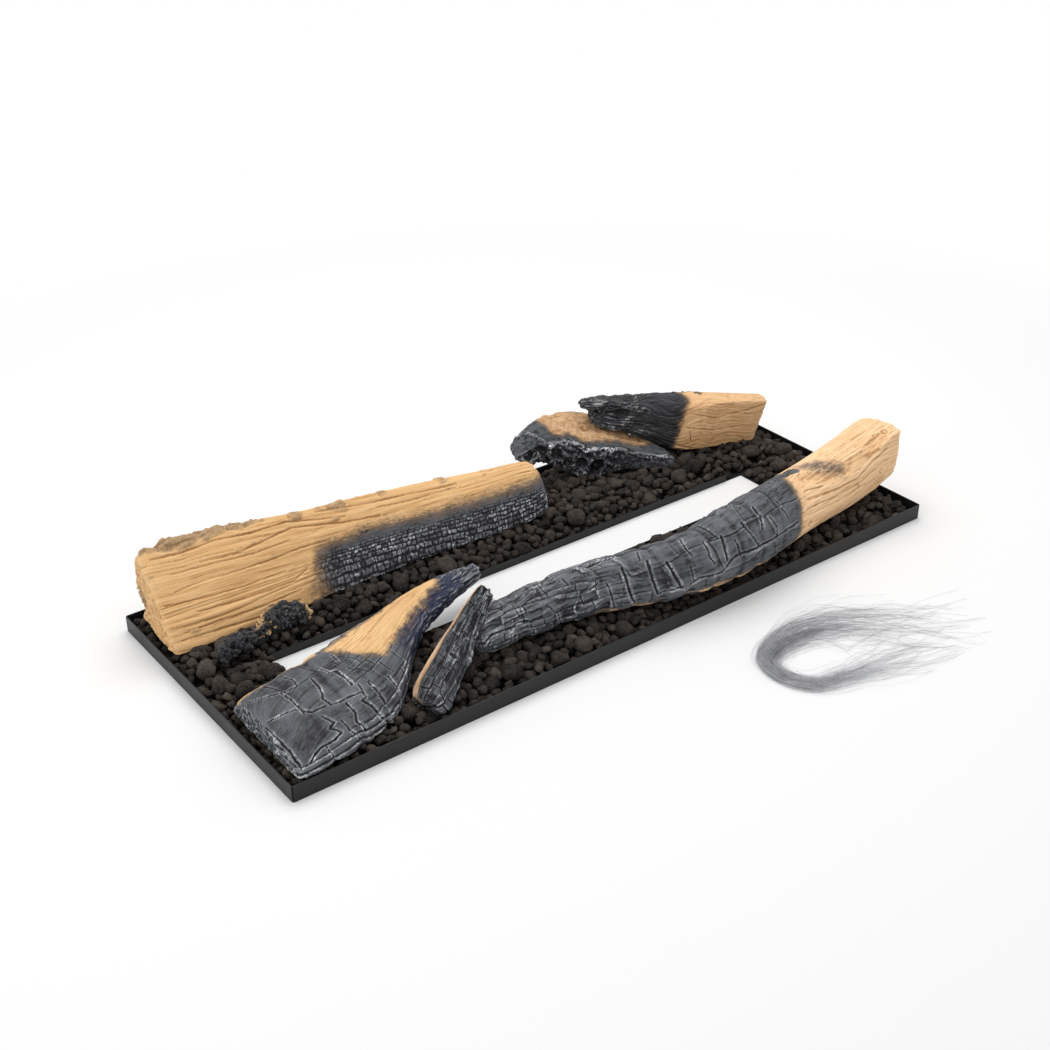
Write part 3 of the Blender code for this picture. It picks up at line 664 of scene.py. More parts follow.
def wood_group():
    """Paint of split wood: fine lines along the grain, and, through the relief layer, dark grooves
    as painted shade and pale crests, partly the wood's own paler grain and partly painted
    highlight.
    """
    w, given, made = new_group(
        "split_wood_paint",
        [("Grain", "Vector", None), ("Relief", "Float", 0.0), ("Pale", "Color", (0.8, 0.5, 0.3, 1)),
         ("Wood", "Color", (0.6, 0.4, 0.2, 1)), ("Dark", "Color", (0.2, 0.1, 0.05, 1))],
        [("Color", "Color"), ("Height", "Float")],
    )
    grain = given["Grain"]
    lines = w.noise(w.scaled(grain, (9, 330, 330)), 1.0, 4.0, 0.6, 0.15)
    hair = w.noise(w.scaled(grain, (45, 1100, 1100)), 1.0, 3.0, 0.6)
    patches = w.noise(w.scaled(grain, (10, 26, 26)), 1.0, 3.0, 0.5)
    sand = w.noise(grain, 1300.0, 2.0, 0.7)
    # The relief layer darkens grooves and cracks as painted shade and lightens the crests, partly
    # as painted highlight.
    tone = w.total(
        (lines, 0.25, 0.62, 0.10, 0.78), (patches, 0.3, 0.7, -0.15, 0.15),
        (hair, 0.3, 0.7, -0.12, 0.12), (sand, 0.3, 0.7, -0.16, 0.16),
        (given["Relief"], -1.0, 1.0, -0.46, 0.34),
    )
    low = w.mix(w.span(tone, 0.0, 0.40), given["Dark"], given["Wood"])
    w.join(w.mix(w.span(tone, 0.40, 1.0), low, given["Pale"]), made["Color"])
    w.join(w.blend((lines, 0.7), (hair, 0.3), (sand, 0.35)), made["Height"])
    return w.tree


def char_group():
    """Paint of char: near-black in the cracks, partly its own paint and partly painted shade, worn
    grey on the blocks, pale ash flecks on the crests.
    """
    w, given, made = new_group(
        "char_paint",
        [("Grain", "Vector", None), ("Relief", "Float", 0.0), ("Fleck", "Float", 0.0),
         ("Navy", "Float", 0.0), ("Char", "Color", (0.07, 0.07, 0.08, 1)),
         ("Worn", "Color", (0.2, 0.2, 0.2, 1)), ("Soot", "Color", (0.01, 0.01, 0.01, 1)),
         ("Ash", "Color", (0.7, 0.7, 0.7, 1)), ("Blue", "Color", (0.01, 0.02, 0.05, 1))],
        [("Color", "Color"), ("Roughness", "Float"), ("Height", "Float")],
    )
    grain = given["Grain"]
    streaks = w.noise(w.scaled(grain, (26, 520, 520)), 1.0, 5.0, 0.65, 0.2)
    clouds = w.noise(w.scaled(grain, (22, 50, 50)), 1.0, 4.0, 0.6)
    specks = w.noise(grain, 620.0, 3.0, 0.7)
    # The relief layer turns cracks and hollows near-black as painted shade, and raised parts
    # towards worn char.
    tone = w.total(
        (streaks, 0.30, 0.70, 0.34, 0.58), (clouds, 0.3, 0.7, -0.28, 0.28),
        (specks, 0.3, 0.7, -0.10, 0.10), (given["Relief"], -1.0, 1.0, -0.80, 0.36),
    )
    low = w.mix(w.span(tone, 0.0, 0.38), given["Soot"], given["Char"])
    colour = w.mix(w.span(tone, 0.38, 1.0), low, given["Worn"])
    colour = w.mix(given["Navy"], colour, w.mix(w.span(tone, 0.5, 1.0), given["Blue"], colour))
    dabs = w.span(w.blend((specks, 0.55), (streaks, 0.45)), 0.42, 0.56)
    fleck = w.math("MULTIPLY", given["Fleck"], dabs, clamp=True)
    w.join(w.mix(fleck, colour, given["Ash"]), made["Color"])
    w.join(w.span(streaks, 0.3, 0.7, 0.78, 0.52), made["Roughness"])
    w.join(w.blend((streaks, 0.6), (specks, 0.4)), made["Height"])
    return w.tree


def pores_group():
    """Uneven tone and open pores of lava, with the pores darkened as painted shade."""
    w, given, made = new_group(
        "lava_pores",
        [("Place", "Vector", None), ("Tone", "Float", 0.0)],
        [("Shade", "Float"), ("Height", "Float")],
    )
    place = given["Place"]
    clouds = w.noise(place, 45.0, 3.0, 0.6)
    rough = w.noise(place, 420.0, 4.0, 0.7)
    pores = w.fill(w.add("TexVoronoi", feature="F1"), Vector=place, Scale=330.0)
    open_pores = w.span(pores.outputs["Distance"], 0.12, 0.42)
    own = w.math("MULTIPLY", given["Tone"], 0.6)
    shade = w.math("ADD", w.span(clouds, 0.3, 0.7, -0.05, 0.35), own)
    shade = w.math("ADD", shade, w.span(rough, 0.3, 0.7, -0.25, 0.25))
    # Painted shade in the open pores.
    pit_shade = w.span(open_pores, 0.0, 1.0, 0.65, 1.0)
    w.join(w.math("MULTIPLY", shade, pit_shade, clamp=True), made["Shade"])
    w.join(w.blend((rough, 0.6), (open_pores, 0.5)), made["Height"])
    return w.tree


GROUP_MAKERS = {"split_wood_paint": wood_group, "char_paint": char_group, "lava_pores": pores_group}


def new_material(name):
    """A material with its wiring and its main shader."""
    material = bpy.data.materials.new(name)
    material.use_nodes = True
    return material, Wiring(material.node_tree), material.node_tree.nodes["Principled BSDF"]


def add_bump(w, shader, height, strength, distance):
    bump = w.fill(w.add("Bump"), Height=height, Strength=strength, Distance=distance)
    w.join(bump.outputs["Normal"], shader.inputs["Normal"])


def opaque(colour):
    return (*colour, 1.0)


def shaded(colour, factor):
    """A colour made lighter or darker."""
    return opaque([min(1.0, part * factor) for part in colour])


def log_material(name, colours, shade=1.0, tint=(1.0, 1.0, 1.0)):
    """Cast log: split wood and char painted over each other by the mesh's own layers.

    shade lightens or darkens this log's char, and tint its split wood.
    """
    pale, middle, dark = (
        opaque([min(1.0, part * change) for part, change in zip(wood, tint)])
        for wood in (colours.pale_wood_and_highlight, colours.wood, colours.dark_wood_and_shade)
    )
    material, w, shader = new_material(name)
    grain = w.layer("grain", "Vector")
    relief_and_shade = w.layer("relief_and_shade")
    char = w.layer("char")
    wood_paint = w.group(
        "split_wood_paint", Grain=grain, Relief=relief_and_shade, Pale=pale, Wood=middle, Dark=dark,
    )
    char_paint = w.group(
        "char_paint", Grain=grain, Relief=relief_and_shade, Fleck=w.layer("fleck"), Navy=w.layer("navy"),
        Char=shaded(colours.char, shade), Worn=shaded(colours.worn_char, shade),
        Soot=opaque(colours.soot_and_shade), Ash=opaque(colours.ash), Blue=opaque(colours.navy),
    )
    bark_tone = w.span(w.noise(grain, 260.0, 4.0, 0.7), 0.35, 0.7)
    bark = w.mix(bark_tone, shaded(colours.bark, 0.45), opaque(colours.bark))
    wood = w.mix(w.layer("bark"), wood_paint["Color"], bark)
    dust = w.noise(w.scaled(grain, (170, 420, 420)), 1.0, 4.0, 0.65)
    edge = w.math("ADD", char, w.span(dust, 0.3, 0.7, -0.20, 0.20))
    edge = w.math("MULTIPLY", edge, w.span(char, 0.0, 0.12))
    scorched = w.mix(w.span(edge, 0.05, 0.60, 0.0, 0.75), wood, opaque(colours.scorch))
    colour = w.mix(w.span(edge, 0.25, 0.90), scorched, char_paint["Color"])
    roughness = w.span(char, 0.0, 1.0, 0.86, char_paint["Roughness"])
    w.fill(shader, Base_Color=colour, Roughness=roughness, Specular_IOR_Level=0.35)
    bare = w.math("SUBTRACT", 1.0, char)
    height = w.blend((wood_paint["Height"], bare), (char_paint["Height"], char))
    add_bump(w, shader, height, 0.7, 0.0010)
    return material


def lava_material(settings):
    """Rough, porous dark brown lava."""
    material, w, shader = new_material("lava")
    place = w.add("TexCoord").outputs["Object"]
    pores = w.group("lava_pores", Place=place, Tone=w.layer("tone"))
    colour = w.mix(pores["Shade"], opaque(settings.dark), opaque(settings.light))
    w.fill(shader, Base_Color=colour, Roughness=0.92, Specular_IOR_Level=0.25)
    add_bump(w, shader, pores["Height"], 0.8, 0.0016)
    return material


def tray_material(settings):
    """Satin black paint with a fine orange peel and a little dust."""
    material, w, shader = new_material("black_paint")
    place = w.add("TexCoord").outputs["Object"]
    clouds = w.noise(place, 14.0, 4.0, 0.6)
    peel = w.noise(place, 1400.0, 2.0, 0.5)
    dust = w.math("MULTIPLY", w.span(clouds, 0.42, 0.72), w.span(peel, 0.45, 0.7), clamp=True)
    colour = w.mix(w.math("MULTIPLY", dust, 0.6), opaque(settings.paint), opaque(settings.dust))
    roughness = w.span(clouds, 0.3, 0.7, 0.36, 0.50)
    w.fill(shader, Base_Color=colour, Roughness=roughness, Specular_IOR_Level=0.3)
    add_bump(w, shader, peel, 0.12, 0.0002)
    return material


def wool_material(settings):
    """Dull grey mineral fibre, uneven from strand to strand."""
    material, w, shader = new_material("glow_wool_fibre")
    place = w.add("TexCoord").outputs["Object"]
    tone = w.noise(w.scaled(place, (60, 60, 900)), 1.0, 3.0, 0.6)
    colour = w.mix(w.span(tone, 0.3, 0.7), shaded(settings.grey, 0.55), shaded(settings.grey, 1.5))
    w.fill(shader, Base_Color=colour, Roughness=w.span(tone, 0.3, 0.7, 0.75, 0.55))
    return material


# Stage


FLOOR_REACH = 6.0
KEY_SIZE, KEY_PLACE = 1.6, Vector((0.22, 0.60, 1.8))
FILL_SIZE, FILL_PLACE = 1.4, Vector((-1.9, -0.3, 0.9))
SENSOR = 36
BLACK, WHITE = (0, 0, 0, 1), (1, 1, 1, 1)


def seen_rays(w):
    """1 for the camera's rays, also where they come by gloss or glass, and 0 for all others."""
    path = w.add("LightPath").outputs
    seen = w.math("MAXIMUM", path["Is Camera Ray"], path["Is Glossy Ray"])
    return w.math("MAXIMUM", seen, path["Is Transmission Ray"])


def floor_material(settings):
    """Pale floor that keeps the object's shadow, and turns plain white away from the object."""
    material, w, shader = new_material("pale_floor")
    away = w.add("VectorMath", operation="LENGTH")
    w.join(w.add("TexCoord").outputs["Object"], away.inputs[0])
    far = w.span(away.outputs["Value"], settings.shadow_reach, settings.shadow_reach * 1.6)
    colour = w.mix(far, opaque(settings.floor), BLACK)
    w.fill(shader, Base_Color=colour, Roughness=0.9, Specular_IOR_Level=0.0)
    glow = w.math("MULTIPLY", seen_rays(w), w.span(far, 0.0, 1.0, settings.lift, 1.0))
    w.fill(shader, Emission_Color=WHITE, Emission_Strength=glow)
    return material


def add_light(name, size, power, place, target):
    light = bpy.data.lights.new(name, "AREA")
    light.shape = "SQUARE"
    light.size = size
    light.energy = power
    item = add_object(name, light)
    item.location = place
    item.rotation_euler = (target - place).to_track_quat("-Z", "Y").to_euler()


class LOGSET_OT_stage(bpy.types.Operator):
    """Add the pale floor, the soft studio light and the camera"""

    bl_idname = "log_set.stage"
    bl_label = "Stage"
    bl_options = {"REGISTER", "UNDO"}

    def execute(self, context):
        settings = context.scene.log_set_looks.stage
        bm = bmesh.new()
        bmesh.ops.create_grid(bm, x_segments=1, y_segments=1, size=FLOOR_REACH)
        mesh = mesh_from(bm, "floor")
        mesh.materials.append(floor_material(settings))
        add_object("floor", mesh)

        low, high = (Vector(corner) for corner in CAD_BOX)
        middle = (low + high) / 2
        add_light("key_light", KEY_SIZE, settings.key, middle + KEY_PLACE, middle)
        add_light("fill_light", FILL_SIZE, settings.fill, middle + FILL_PLACE, middle)

        world = bpy.data.worlds.new("room")
        context.scene.world = world
        world.use_nodes = True
        w = Wiring(world.node_tree)
        strength = w.span(seen_rays(w), 0.0, 1.0, settings.sky, 1.0)
        w.fill(world.node_tree.nodes["Background"], Color=WHITE, Strength=strength)

        data = bpy.data.cameras.new("photo_camera")
        data.sensor_width = SENSOR
        data.lens = settings.lens
        data.clip_end = 30
        camera = add_object("photo_camera", data)
        heading, tilt, roll = settings.camera_turn
        turn = Matrix.Rotation(heading, 4, "Z") @ Matrix.Rotation(math.pi / 2 + tilt, 4, "X")
        camera.matrix_world = (
            Matrix.Translation(settings.camera_place) @ turn @ Matrix.Rotation(roll, 4, "Z")
        )
        context.scene.camera = camera
        context.scene.view_settings.view_transform = "Standard"
        return {"FINISHED"}


# Tray and lava


FLAT_ANGLE = math.radians(1)
SHARP_ANGLE = math.radians(40)


class LOGSET_OT_tray(bpy.types.Operator):
    """Round the tray's bends and paint it black"""

    bl_idname = "log_set.tray"
    bl_label = "Tray"
    bl_options = {"REGISTER", "UNDO"}

    def execute(self, context):
        settings = context.scene.log_set_looks.tray
        bm = merged_copy("tray")
        bmesh.ops.dissolve_limit(bm, angle_limit=FLAT_ANGLE, verts=bm.verts, edges=bm.edges)
        sharp = [edge for edge in bm.edges if edge.calc_face_angle(0.0) > SHARP_ANGLE]
        bmesh.ops.bevel(
            bm, geom=sharp, offset=settings.bend, segments=2, profile=0.5, affect="EDGES",
            material=-1, clamp_overlap=True,
        )
        mesh = mesh_from(bm, "folded_tray")
        mesh.materials.append(tray_material(settings))
        piece = add_object("folded_tray", mesh)
        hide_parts("tray")
        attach(piece, "tray_and_lava")
        return {"FINISHED"}


BEDS = ("lava_bed_front", "lava_bed_back", "lava_bed_left", "lava_bed_right")
LOGS = (
    "log_back_left", "log_front_left", "log_front_right", "bark_slab", "log_back_right",
    "leaning_stick", "charred_twig",
)

LAVA_SEED = 21
FLAT_STONE = 0.75
PACKING = 0.88
DROPS_PER_STONE = 5
STONE_SHAPES = 24
STONE_FLATS = 10
MISSES_BEFORE_FULL = 260
MORE_SMALL_STONES = 1.9
WALL_ROOM = 0.8
EDGE_HEAP = 0.0125
EDGE_SLOPE = 0.50
WIDTHS_PER_RADIUS = 4.4


def stone_radius(draw, settings):
    """Half a stone's width, with more small stones than large ones."""
    share = draw.random() ** MORE_SMALL_STONES
    return settings.smallest + (settings.largest - settings.smallest) * share


class Pile:
    """Stones dropped one by one, kept by the square of the floor that each lies over."""

    def __init__(self, square):
        self.square = square
        self.squares = {}

    def key(self, x, y):
        return int(x // self.square), int(y // self.square)

    def add(self, x, y, z, radius):
        self.squares.setdefault(self.key(x, y), []).append((x, y, z, radius))

    def rest_height(self, x, y, radius, floor):
        """Where a stone dropped here comes to rest on the floor or on other stones."""
        z = floor + radius * FLAT_STONE
        column, row = self.key(x, y)
        for i in (column - 1, column, column + 1):
            for j in (row - 1, row, row + 1):
                for other_x, other_y, other_z, other_radius in self.squares.get((i, j), ()):
                    reach = (other_radius + radius) * PACKING
                    room = reach * reach - (other_x - x) ** 2 - (other_y - y) ** 2
                    if room > 0:
                        z = max(z, other_z + math.sqrt(room))
        return z


def pile_places(low, high, settings, fixed, logs, draw):
    """Middles and radii of stones heaped between two corners, under the logs that lie on them."""
    pile = Pile(2 * settings.largest)
    for middle, radius in fixed:
        pile.add(*middle, radius)
    placed = []
    misses = 0
    top = low.z + settings.heap
    while misses < MISSES_BEFORE_FULL:
        radius = stone_radius(draw, settings)
        edge = radius * WALL_ROOM
        tries = []
        for _ in range(DROPS_PER_STONE):
            x = draw.uniform(low.x + edge, high.x - edge)
            y = draw.uniform(low.y + edge, high.y - edge)
            tries.append((pile.rest_height(x, y, radius, low.z), x, y))
        z, x, y = min(tries)
        roof = logs.ray_cast(Vector((x, y, 0)), Vector((0, 0, 1)))[0]
        from_edge = min(x - low.x, high.x - x, y - low.y, high.y - y)
        limit = min(top, low.z + EDGE_HEAP + EDGE_SLOPE * from_edge)
        limit = limit if roof is None else min(limit, roof.z)
        if z + radius * FLAT_STONE > limit:
            misses += 1
            continue
        misses = 0
        pile.add(x, y, z, radius)
        placed.append((x, y, z, radius))
    return placed


def stone_shape(name, draw):
    """One uneven lava stone of unit size, whose every point carries the stone's own tone."""
    bm = bmesh.new()
    tone = bm.verts.layers.float.new("tone")
    bmesh.ops.create_icosphere(bm, subdivisions=2, radius=1.0)
    shade = draw.random()
    shift = Vector((draw.random(), draw.random(), draw.random())) * 40
    stretch = Vector((draw.uniform(1.05, 1.35), draw.uniform(0.85, 1.05), draw.uniform(0.70, 0.90)))
    flats = [(Vector([draw.gauss(0, 1) for _ in range(3)]).normalized(), draw.uniform(0.55, 0.90))
             for _ in range(STONE_FLATS)]
    for vert in bm.verts:
        facing = [(far, vert.co.dot(way)) for way, far in flats]
        reach = min([1.0] + [far / part for far, part in facing if part > 0.3])
        lump = noise.noise(vert.co * 0.9 + shift) * 0.40 + noise.noise(vert.co * 2.6 + shift) * 0.34
        vert.co = vert.co * (1.16 * reach + lump) * stretch
        vert[tone] = shade
    return mesh_from(bm, name)


def add_stone(bm, shape, place, radius, draw):
    """Put a turned copy of a stone shape into a heap."""
    turn = Euler((draw.uniform(-0.5, 0.5), draw.uniform(-0.5, 0.5), draw.uniform(0, math.tau)))
    matrix = Matrix.Translation(place) @ turn.to_matrix().to_4x4() @ Matrix.Scale(radius, 4)
    mesh = shape.copy()
    mesh.transform(matrix)
    bm.from_mesh(mesh)
    bpy.data.meshes.remove(mesh)


def add_heap(bm, name, nodes, material):
    """One piece of lava stones, which stands for the solids of the nodes."""
    mesh = mesh_from(bm, name)
    mesh.shade_smooth()
    mesh.materials.append(material)
    piece = add_object(name, mesh)
    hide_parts(*nodes)
    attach(piece, "tray_and_lava")


def top_stones(names, material):
    """Finer, rougher copies of the single stones on top of the heap, as one piece."""
    bm = bmesh.new()
    tone = bm.verts.layers.float.new("tone")
    for number, name in enumerate(names):
        start = len(bm.verts)
        bm.from_mesh(NODES[name].data)
        bm.verts.ensure_lookup_table()
        for vert in bm.verts[start:]:
            vert[tone] = float(scatter(number))
    bmesh.ops.remove_doubles(bm, verts=bm.verts, dist=MERGE_DISTANCE)
    bmesh.ops.subdivide_edges(bm, edges=bm.edges, cuts=1, smooth=0.6, use_grid_fill=True)
    bm.normal_update()
    for vert in bm.verts:
        lump = noise.noise(vert.co / 0.0080) * 0.0022 + noise.noise(vert.co / 0.0032) * 0.0010
        vert.co += vert.normal * lump
    add_heap(bm, "lava_stones_top", names, material)


class LOGSET_OT_lava(bpy.types.Operator):
    """Fill the four rails of the tray with piled lava stones"""

    bl_idname = "log_set.lava"
    bl_label = "Lava stones"
    bl_options = {"REGISTER", "UNDO"}

    def execute(self, context):
        settings = context.scene.log_set_looks.lava
        material = lava_material(settings)
        logs = node_tree(LOGS)
        singles = [name for name in NODES if name.startswith("lava_stone")]
        fixed = []
        for name in singles:
            low, high = (Vector(corner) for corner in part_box(name))
            widths = high.x - low.x + high.y - low.y
            fixed.append(((low + high) / 2, widths / WIDTHS_PER_RADIUS))
        top_stones(singles, material)
        draw = random.Random(LAVA_SEED)
        shapes = [stone_shape(f"stone_shape_{k}", draw) for k in range(STONE_SHAPES)]
        for bed in BEDS:
            low, high = (Vector(corner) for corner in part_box(bed))
            bm = bmesh.new()
            for x, y, z, radius in pile_places(low, high, settings, fixed, logs, draw):
                add_stone(bm, draw.choice(shapes), (x, y, z), radius, draw)
            for vert in bm.verts:
                vert.co.x = min(max(vert.co.x, low.x), high.x)
                vert.co.y = min(max(vert.co.y, low.y), high.y)
                vert.co.z = max(vert.co.z, low.z)
            add_heap(bm, bed.replace("bed", "stones"), [bed], material)
        return {"FINISHED"}


# Logs


LONG_GROOVES = (
    (16, 18, 27, 710, 892, 94, 696, 860, 180, 724, 853, 260, 676, 821, 344, 644, 828, 422, 550, 772,
     481, 495, 733),
    (18, 20, 127, 584, 733, 220, 561, 698, 284, 572, 733, 349, 578, 772, 405, 520, 736,
     474, 452, 682, 562, 406, 641),
    (15, 14, 49, 434, 570, 121, 449, 575, 204, 437, 552, 276, 424, 551, 351, 414, 575,
     425, 384, 573),
    (15, 15, 0, 484, 266, 85, 264, 334, 178, 246, 299, 250, 240, 289, 313, 240, 300, 352, 276, 369),
    (15, 16, 24, 129, 136, 112, 119, 114, 207, 108, 81, 309, 123, 94),
    (14, 12, 53, 555, 723, 157, 544, 682, 251, 512, 651, 337, 494, 672),
    (14, 13, 16, 361, 478, 107, 339, 436, 200, 321, 403, 299, 317, 411),
    (13, 10, 34, 170, 200, 128, 165, 190, 225, 160, 170, 320, 180, 190),
    (15, 14, 420, 640, 815, 520, 560, 770, 640, 520, 705, 780, 450, 650),
    (14, 12, 560, 500, 700, 680, 450, 620, 820, 400, 600, 950, 360, 580),
)
BARK_LINE = (
    (0.0, 0.690, 0.880), (0.027, 0.710, 0.892), (0.094, 0.696, 0.860), (0.179, 0.715, 0.846),
    (0.261, 0.684, 0.828), (0.303, 0.695, 0.853), (0.33, 0.80, 0.95),
)
CHAR_TOP = (
    (0.36, 0.30), (0.372, 0.42), (0.39, 0.53), (0.5, 0.56), (0.7, 0.50), (0.9, 0.52), (1.0, 0.50),
)
KNOBS = (
    (0.377, 0.694, 0.868), (0.465, 0.615, 0.828), (0.480, 0.632, 0.836), (0.596, 0.633, 0.799),
    (0.754, 0.576, 0.728),
)


class LOGSET_OT_back_left_log(bpy.types.Operator):
    """Carve the large split log: long grain, bark crest and small cells of char on its front"""

    bl_idname = "log_set.back_left_log"
    bl_label = "Back left log"
    bl_options = {"REGISTER", "UNDO"}

    def execute(self, context):
        looks = context.scene.log_set_looks
        surface = Surface("log_back_left", "split_log_back_left", looks.carving.grid)
        height = surface.box_share(2)
        ragged = surface.waves(0.03, 3, 2.0)
        char_top = line_height(CHAR_TOP, surface.share)
        right_of = smooth_step(0.300, 0.440, surface.share + 0.014 * ragged)
        below = 1 - smooth_step(-0.13, 0.13, height - char_top + 0.03 * ragged)
        behind = smooth_step(1.2, 1.7, surface.turn)
        char = right_of * below * (1 - behind)
        surface.layers["char"] = char
        wood = 1 - smooth_step(0.25, 0.7, char)
        bend_grain(surface, 0.36, 0.008, 1.0)

        low = 1 - smooth_step(0.35, 0.65, height)
        surface.push((split_grain(surface, looks.carving.groove, 0.28, 1.0)
                      + combed(surface, 0.0044, 0.0013, 0.4, 1.0) * (0.45 + 0.75 * low)) * wood)
        cut_cracks(surface, LONG_GROOVES, wood, 0.0005, 1.0, 1.1)
        surface.push(pitted_end(surface, 0.0016, 3.0) * wood)
        crack, number = plates(surface, 0.0086, 0.0058, 4.0, 0.16, 0.7)
        cells = char * (1 - smooth_step(-0.20, -0.04, height - char_top))
        cells = cells * smooth_step(0.345, 0.375, surface.share)
        surface.push(plate_relief(crack, number, 0.0018, 0.0012, 0.0007, 0.0003) * cells)
        surface.push(surface.waves(0.005, 3, 6.0) * 0.0007 * cells)
        # A random tone for each plate, and painted shade in the narrow cracks between them.
        surface.shade += cells * ((number - 0.5) * 0.5 - 0.5 * (crack < 0.0010))
        surface.layers["fleck"] = cells * (number > 0.15) * 1.4

        across, up = (
            line_height([(place[0], place[way]) for place in BARK_LINE], surface.box_share(0))
            for way in (1, 2)
        )
        torn = 0.025 * surface.waves((0.03, 0.02, 0.02), 3, 12.0)
        bark = smooth_step(0.02, 0.06, height - up + torn)
        bark = bark * smooth_step(-0.04, 0.02, surface.box_share(1) - across)
        back = smooth_step(0.75, 1.3, surface.turn) * (surface.turn < 2.6)
        knob = np.max([spot(surface, place, 0.014) for place in KNOBS], axis=0)
        torn = surface.waves((0.020, 0.008, 0.008), 3, 21.0)
        knob = smooth_step(0.25, 0.6, knob + 0.55 * torn)
        bark = np.clip(bark + back, 0, 1)
        surface.layers["bark"] = np.clip(bark * 0.9 + knob * 0.8, 0, 1) * wood
        flakes = surface.waves((0.022, 0.012, 0.012), 4, 15.0)
        fringe = surface.lumps((0.010, 0.005, 0.005), 3, 19.0)
        rough = 0.0046 * flakes + 0.0026 * fringe - 0.0010
        surface.push(bark * rough + knob * (0.0010 + 0.0034 * flakes))
        material = log_material("back_left_paint", looks.wood, 1.2, (1.12, 1.08, 1.08))
        surface.finish("back_left_log", material, wide_share=0.1)
        return {"FINISHED"}


TAN_PATCH = (
    (0.31, 0.66), (0.42, 0.74), (0.56, 0.83), (0.72, 0.93), (0.82, 0.99), (0.83, 0.90),
    (0.745, 0.780), (0.650, 0.690), (0.52, 0.52), (0.455, 0.440), (0.40, 0.47),
)
TAN_EDGE = ((0.0, 0.63, 0.55), (0.12, 0.66, 0.70), (0.27, 0.68, 0.90))
FRONT_LEFT_CRACKS = (
    (14, 16, 316, 598, 959, 318, 511, 967),
    (24, 36, 284, 453, 965, 291, 373, 943, 292, 318, 904),
    (15, 18, 250, 537, 957, 267, 464, 968, 292, 455, 965),
    (18, 26, 211, 493, 911, 207, 390, 898, 191, 312, 869, 195, 246, 827, 243, 246, 829,
     301, 245, 828),
    (17, 22, 110, 499, 806, 118, 411, 806, 119, 330, 789, 115, 279, 767),
    (18, 24, 18, 350, 694, 56, 343, 751, 104, 337, 793, 137, 263, 791, 178, 256, 833),
    (18, 30, 151, 205, 779, 169, 142, 708, 148, 121, 670, 173, 81, 562, 143, 61, 500, 91, 55, 484,
     49, 23, 324),
    (16, 22, 308, 303, 886, 301, 207, 776, 284, 198, 776),
    (24, 34, 284, 198, 776, 302, 154, 646, 313, 112, 413, 340, 114, 116),
    (18, 26, 238, 224, 783, 243, 152, 694, 234, 109, 546, 253, 72, 331),
    (15, 20, 191, 138, 696, 200, 82, 514, 231, 62, 111),
    (20, 30, 408, 289, 799, 416, 219, 527, 419, 193, 115, 372, 128, 15),
    (18, 26, 468, 301, 544, 483, 312, 90, 450, 245, 61),
    (15, 22, 340, 296, 845, 345, 214, 746, 348, 150, 541),
    (20, 30, 3, 323, 650, 11, 107, 531, 17, 16, 238),
    (14, 20, 109, 59, 491, 124, 18, 92),
    (14, 16, 20, 560, 640, 60, 530, 740, 110, 499, 806, 160, 480, 860),
    (13, 14, 150, 620, 820, 165, 540, 850, 160, 480, 860),
)


